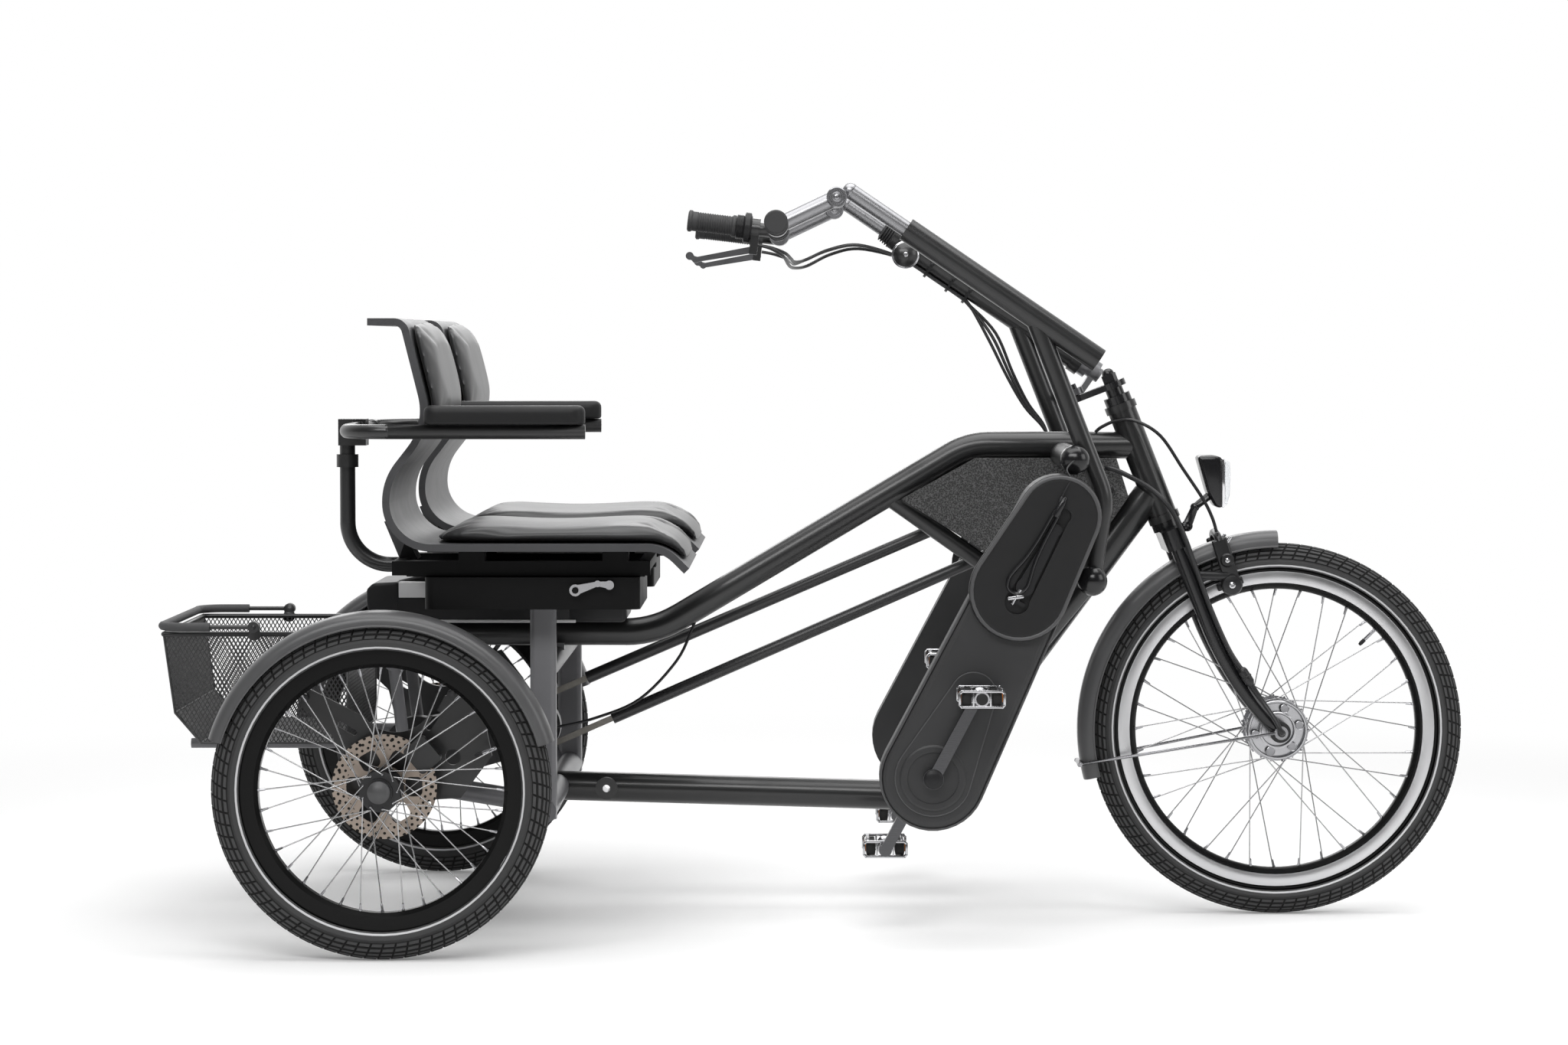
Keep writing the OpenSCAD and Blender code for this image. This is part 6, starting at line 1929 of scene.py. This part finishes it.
@dataclass
class Armrest:
    """An armrest: its packed bar and a moulded pad with rounded ends."""

    side: str
    y: float
    x: tuple[float, float] = (68.0, 310.0)
    z: tuple[float, float] = (810.3, 839.3)
    half: float = 23.0

    def build(self) -> None:
        """Makes the bar from the solid's faces, and the pad anew."""
        body = f"{self.side}_armrest"
        bar = node_faces(body, lambda p: p.z < self.z[0] - 0.1)
        piece(f"{self.side}_armrest_bar", bar, FRAME_PAINT, body)
        length, height = self.x[1] - self.x[0], self.z[1] - self.z[0]
        bm = cuboid(length, 2 * self.half, height)
        upright = [e for e in bm.edges if abs(e.verts[0].co.z - e.verts[1].co.z) > 1e-5]
        round_edges(bm, upright, 20, 6)
        for side, radius, segments in ((1, 11, 5), (-1, 4, 3)):
            rim = [e for e in bm.edges if all(side * v.co.z > 0.4 * height * MM for v in e.verts)
                   and e.calc_face_angle(0) > 1.2]
            round_edges(bm, rim, radius, segments)
        for v in bm.verts:
            if v.co.z > 0:
                v.co.z -= 3.0 * MM * max(0.0, 1 - (abs(v.co.x) / (0.5 * length * MM)) ** 2)
        bmesh.ops.translate(bm, verts=bm.verts, vec=at(sum(self.x) / 2, self.y, sum(self.z) / 2))
        made = piece(f"{self.side}_armrest_cushion", bm, ARM_SKIN, body, body)


@dataclass
class SmallParts:
    """Bolts, caps, ties, reflectors and other small parts."""

    column_len: float = 363.0
    cross_ends: tuple[tuple[float, float], ...] = ((1058, 751), (1086, 563))
    cross_half: float = 300.0
    brake_turn: float = 18.0
    lamp: tuple[float, float] = (1303.0, 707.0)

    def build(self) -> None:
        """Makes all small parts."""
        self.column_boot()
        self.cable_ties()
        self.bell_ring()
        self.stem_discs()
        self.cross_caps()
        self.gusset_bolts()
        self.case_reliefs()
        self.latch_wire()
        self.brake_housings()
        self.headlight()
        self.hub_face()
        self.hub_cable()
        self.bail_foam()

    @staticmethod
    def along_column(d: float) -> Vector:
        """Place on the middle line of the driver's column."""
        return at(COLUMN_LOW[0], RIDER_Y, COLUMN_LOW[1]) + column_axis() * d * MM

    def column_boot(self) -> None:
        """The ribbed rubber boot on top of the driver's column."""
        profile = [(14, 6)]
        for i in range(5):
            z = 7 + i * 4.4
            profile += [(19.0 - i * 0.4, z), (22.6 - i * 0.5, z + 1.4), (22.6 - i * 0.5, z + 2.6),
                        (18.8 - i * 0.4, z + 4)]
        profile += [(14, 30)]
        boot = bmesh.new()
        join(boot, lathe(profile, 32), facing(self.along_column(self.column_len), column_axis()))
        piece("column_boot", boot, GRIP_RUBBER, "column", crease=60)

    def cable_ties(self) -> None:
        """Plastic ties that hold the cables under the column, each with its cut end."""
        bm = bmesh.new()
        under = Vector((-column_axis().z, 0, column_axis().x))
        for d in (330, 290, 246, 212):
            band = lathe([(23.6, -2.2), (24.8, -2.2), (24.8, 2.2), (23.6, 2.2), (23.6, -2.2)], 28)
            join(bm, band, facing(self.along_column(d) + under * 4.2 * MM, column_axis()))
            lock = block((6.0, 7.0, 6.0), 1.0)
            join(bm, lock, facing(self.along_column(d) + under * 4.2 * MM + Vector((0, -26.5 * MM, 0)),
                                  column_axis()))
        piece("cable_ties", bm, BLACK_PLASTIC, "frame")

    def bell_ring(self) -> None:
        """The bright ring and hammer button of the bell."""
        ring = bmesh.new()
        place = at(809.28, 242.7, 1081.19)
        near = facing(place, Vector((0, -1, 0)))
        join(ring, lathe([(18.5, -0.5), (22.6, -0.5), (23.6, 1.2), (23.4, 3.6), (21.4, 5.6), (18.5, 6.2),
                          (18.5, -0.5)], 40), near)
        join(ring, lathe([(0, 13.4), (4.2, 13.4), (4.2, 14.6), (3, 15.8), (0, 16.2)], 18), near)
        piece("bell_ring", ring, ALLOY, "frame")

    def stem_discs(self) -> None:
        """Turned discs with a bolt on both faces of each stem's pivot."""
        profile = [(15.6, -0.6), (15.6, 1.8), (14.6, 2.8), (11.6, 2.8), (11.0, 1.6), (8.2, 1.6), (7.6, 3.4),
                   (4.6, 3.8)]
        for body, y in (("frame", -RIDER_Y), ("column", RIDER_Y)):
            bm = bmesh.new()
            for side in (-1, 1):
                place = facing(at(688.93, y + side * 21, 1158.05), Vector((0, side, 0)))
                join(bm, lathe(profile, 36), place)
                join(bm, self.bolt(4.8), place @ Matrix.Translation((0, 0, 2.0 * MM)))
            piece(f"{body}_stem_discs", bm, ALLOY_SATIN, body)

    def cross_caps(self) -> None:
        """Round glossy caps on the ends of the cross tubes."""
        bm = bmesh.new()
        profile = [(20.3, -15), (22.4, -12), (23.4, -5), (23.0, 2.5), (20.8, 9), (16.2, 14.4), (9.4, 18.2),
                   (3, 19.6), (0, 19.8)]
        for x, z in self.cross_ends:
            for side in (-1, 1):
                join(bm, lathe(profile, 36), facing(at(x, side * self.cross_half, z), Vector((0, side, 0))))
        piece("cross_tube_caps", bm, FORK_PAINT, "frame", crease=50)

    def gusset_bolts(self) -> None:
        """Domed bolts through the side plates of the frame."""
        bm = bmesh.new()
        for side in (-1, 1):
            for x, z in ((1116.7, 722), (1134.7, 690), (970, 596)):
                join(bm, self.bolt(7.5), facing(at(x, side * 28.3, z), Vector((0, side, 0))))
        piece("gusset_bolts", bm, BLACK_STEEL, "frame")

    @staticmethod
    def bolt(r: float) -> BMesh:
        """A domed head with a round socket, its seat at local Z = 0.

        Args:
            r: Radius of the head, in millimetres.

        Returns:
            The bolt.
        """
        return lathe([(0, -3), (r * 0.55, -3), (r * 0.55, -0.5), (r, -0.2), (r, r * 0.22),
                      (r * 0.86, r * 0.5), (r * 0.5, r * 0.62), (r * 0.44, r * 0.56), (r * 0.42, r * 0.2),
                      (0, r * 0.16)], 18)

    def case_reliefs(self) -> None:
        """The raised field round each crank on the chain cases."""
        bm = bmesh.new()
        for side in (-1, 1):
            part = bmesh.new()
            for (x, z), r in ((CRANK, 60.0), (RELIEF_TOP, 36.0)):
                for y, grow in ((339.0, 0.0), (341.2, 0.0), (342.2, -1.6)):
                    bmesh.ops.create_circle(part, segments=48, radius=(r + grow) * MM, matrix=facing(
                        at(x, side * y, z), Vector((0, 1, 0))))
            hull = bmesh.ops.convex_hull(part, input=part.verts)
            stray = [v for v in hull["geom_interior"] if isinstance(v, BMVert)]
            bmesh.ops.delete(part, geom=stray, context="VERTS")
            bmesh.ops.delete(part, geom=[e for e in part.edges if not e.link_faces], context="EDGES")
            bmesh.ops.dissolve_limit(part, angle_limit=math.radians(1.0), verts=part.verts, edges=part.edges)
            outwards(part)
            join(bm, part)
        piece("case_reliefs", bm, CASE_PLASTIC, "frame", crease=20)

    def latch_wire(self) -> None:
        """The thin cable from each cover's latch to the cap above it."""
        bm = bmesh.new()
        for side in (-1, 1):
            way = [at(x, side * y, z) for x, y, z in (
                (1030, 356, 683), (1037, 358, 702), (1048, 352, 722), (1043, 340, 737), (1052, 326, 748),
                (1058, 316, 751))]
            join(bm, tube(smooth_line(way), 1.3, 2))
            join(bm, lathe([(0, -2), (3.2, -2), (3.2, 12), (1.6, 15), (0, 15)], 12),
                 facing(way[0], (way[1] - way[0]).normalized()))
        piece("latch_wires", bm, CABLE_SKIN, "frame")

    def brake_point(self, x: float, y: float, z: float) -> Vector:
        """Place on the rim brake.

        Args:
            x: Distance along the rim, in millimetres.
            y: Distance across it.
            z: Distance out from the axle.

        Returns:
            The place.
        """
        a = math.radians(self.brake_turn)
        return at(FRONT_AXLE[0] + x * math.cos(a) - z * math.sin(a), y,
                  FRONT_AXLE[1] + x * math.sin(a) + z * math.cos(a))

    def brake_housings(self) -> None:
        """The rim brake: round cylinder housings on arms, pads, an arch and bright bolts."""
        body, bright = bmesh.new(), bmesh.new()
        turn = Matrix.Rotation(-math.radians(self.brake_turn), 4, "Y")
        for side in (-1, 1):
            out = Vector((0, side, 0))
            join(body, lathe([(9.8, -28), (9.8, -9), (16.6, -8), (17.5, -5), (17.5, 2), (15, 6), (9, 7.5),
                              (0, 7.5)], 32), facing(self.brake_point(0, side * 46, 249.5), out))
            join(body, lathe([(0, -9), (11, -8), (11.5, 2), (9, 5), (0, 5.5)], 26),
                 facing(self.brake_point(5, side * 46, 290), out))
            join(body, block((26, 8.5, 78), 3.6, 3),
                 Matrix.Translation(self.brake_point(3, side * 42, 288)) @ turn)
            join(body, block((44, 7.6, 12), 2.2, 3),
                 Matrix.Translation(self.brake_point(0, side * 20.2, 249.5)) @ turn)
            strut = [self.brake_point(0, side * 42, 264), self.brake_point(-66, side * 55, 288)]
            join(body, tube(strut, 7.4, 4))
            join(bright, self.bolt(6.0), facing(self.brake_point(0, side * 53.4, 249.5), out))
            join(bright, self.bolt(4.4), facing(self.brake_point(5, side * 51.4, 290), out))
            foot = self.brake_point(15, side * 42, 318)
            join(bright, lathe([(0, -2), (3.2, -2), (3.2, 9), (2.2, 10), (0, 10)], 14),
                 facing(foot, self.brake_point(30, side * 42, 330) - foot))
        arch = [self.brake_point(3, 42 * math.cos(math.radians(t)), 322 + 14 * math.sin(math.radians(t)))
                for t in range(0, 181, 12)]
        join(body, tube(arch, 6.4, 4))
        piece("rim_brake_body", body, BLACK_STEEL, "fork", "rim_brake")
        piece("rim_brake_bolts", bright, ALLOY, "fork")

    def headlight(self) -> None:
        """The lamp's rounded shell with its bright bezel and clear front."""
        x, z = self.lamp
        shell = self.lamp_form(((-10, -18), (2, -41), (16, -43), (16, 38), (4, 43), (-27, 42)), 27.0, 9.0)
        foot = node_faces("headlight", lambda p: abs(p.y) < 8.5 and (p.x < x - 10 and p.z < z + 20))
        join(shell, foot)
        piece("headlight_shell", shell, FORK_PAINT, "fork", "headlight", crease=50)
        bezel = self.lamp_form(((13, -42), (18.5, -41), (18.5, 37), (13, 39)), 26.6, 2.0)
        piece("headlight_bezel", bezel, LAMP_CHROME, "fork")
        glass = self.lamp_form(((17, -39), (22, -38.5), (26.5, -20), (27.5, 12), (26, 33), (17, 35)),
                               24.6, 2.6)
        piece("headlight_glass", glass, LAMP_GLASS, "fork", "headlight_lens", crease=50)

    def lamp_form(self, outline: tuple[tuple[float, float], ...], half: float, bevel: float) -> BMesh:
        """A rounded solid from an outline round the lamp's middle."""
        return prism([(self.lamp[0] + x, self.lamp[1] + z) for x, z in outline], half, bevel)

    def hub_face(self) -> None:
        """Ribs and recesses on both faces of the front hub."""
        ring, dark = bmesh.new(), bmesh.new()
        for side in (-1, 1):
            out = Vector((0, side, 0))
            face = at(FRONT_AXLE[0], side * 34, FRONT_AXLE[1])
            join(ring, lathe([(26, -0.5), (26, 1.2), (27, 2), (29, 2), (30, 1.2), (30, -0.5)], 40),
                 facing(face, out))
            join(ring, lathe([(44, -0.5), (44, 0.9), (45, 1.6), (47.5, 1.6), (48.5, 0.6), (48.5, -0.5)], 48),
                 facing(face, out))
            for k in range(6):
                spot = face + heading(60 * k + 12) * 36.5 * MM
                join(dark, lathe([(0, -0.4), (7.6, -0.4), (7.6, 0.7), (6.8, 1.1), (6.0, 0.4), (0, 0.3)], 20),
                     facing(spot, out))
        piece("front_hub_rings", ring, ALLOY, "front_wheel")
        piece("front_hub_recesses", dark, ALLOY_SATIN, "front_wheel")

    def hub_cable(self) -> None:
        """The gear cable that leaves the main tube for the rear hub."""
        lo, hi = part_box("gear_hub")
        end = rear_mm((lo + hi) / 2)
        y = lo.y / MM - 3
        way = [at(*p) for p in ((464, 0, 492), (456, -6, 468), (430, -12, 414), (370, -16, 352),
                                (300, y + 6, 322), (240, y, 308), (end.x + 10, y, end.z + 4),
                                (end.x, y, end.z))]
        bm = tube(smooth_line(way), 2.4)
        join(bm, lathe([(0, -4), (5, -4), (5, 4), (0, 4)], 16), facing(way[-1], Vector((0, 1, 0))))
        piece("hub_cable", bm, CABLE_SKIN, "frame")

    def bail_foam(self) -> None:
        """Foam sleeves round the corners of the basket's handle."""
        bm = bmesh.new()
        for side in (-1, 1):
            way = [at(-300, side * 213, 484), at(-320, side * 213, 484)]
            for t in range(0, 91, 10):
                a = math.radians(t)
                way.append(at(-340.5 - 40 * math.sin(a), side * (173 + 40 * math.cos(a)), 484))
            join(bm, tube(way, 6.9, 4))
        piece("bail_foam", bm, FOAM_GRIP, "basket_bail")


def main() -> None:
    """Builds the studio and every piece in order."""
    logging.basicConfig(level=logging.INFO, format="%(name)s: %(message)s")
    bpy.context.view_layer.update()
    Studio().build()
    Dressing().build()
    for side, outward in (("right", -1.0), ("left", 1.0)):
        Wheel(side, (REAR_AXLE[0], outward * WHEEL_Y, REAR_AXLE[1]), radius=258, section=27.5, flange=213,
              rim_in=186, hub_flange=31, hub_z=28, steps=78, outward=outward, valve=20).build()
    Wheel("front", (FRONT_AXLE[0], 0, FRONT_AXLE[1]), radius=303.5, section=25, flange=263.5, rim_in=236.5,
          hub_flange=56, hub_z=24, steps=92, valve=45, lip=8.0).build()
    Fender("rear_fenders", "frame", REAR_AXLE, (-WHEEL_Y, WHEEL_Y), radius=272, half=33, skirt=22, start=16,
           span=147, stays=BLACK_STEEL).build()
    Fender("front_fender", "fork", FRONT_AXLE, (0,), radius=323.5, half=29, skirt=25, start=90, span=105,
           stays=ALLOY_SATIN, bar=190).build()
    Battery().build()
    SeatPads().build()
    Armrest("outer", -496).build()
    Armrest("inner", -44).build()
    Basket().build()
    Chain().build()
    Grips().build()
    Cables().build()
    for side in ("right_outer", "right_inner", "left_inner", "left_outer"):
        Pedal(side).build()
    CaseTrim().build()
    SmallParts().build()


if __name__ == "__main__":
    main()
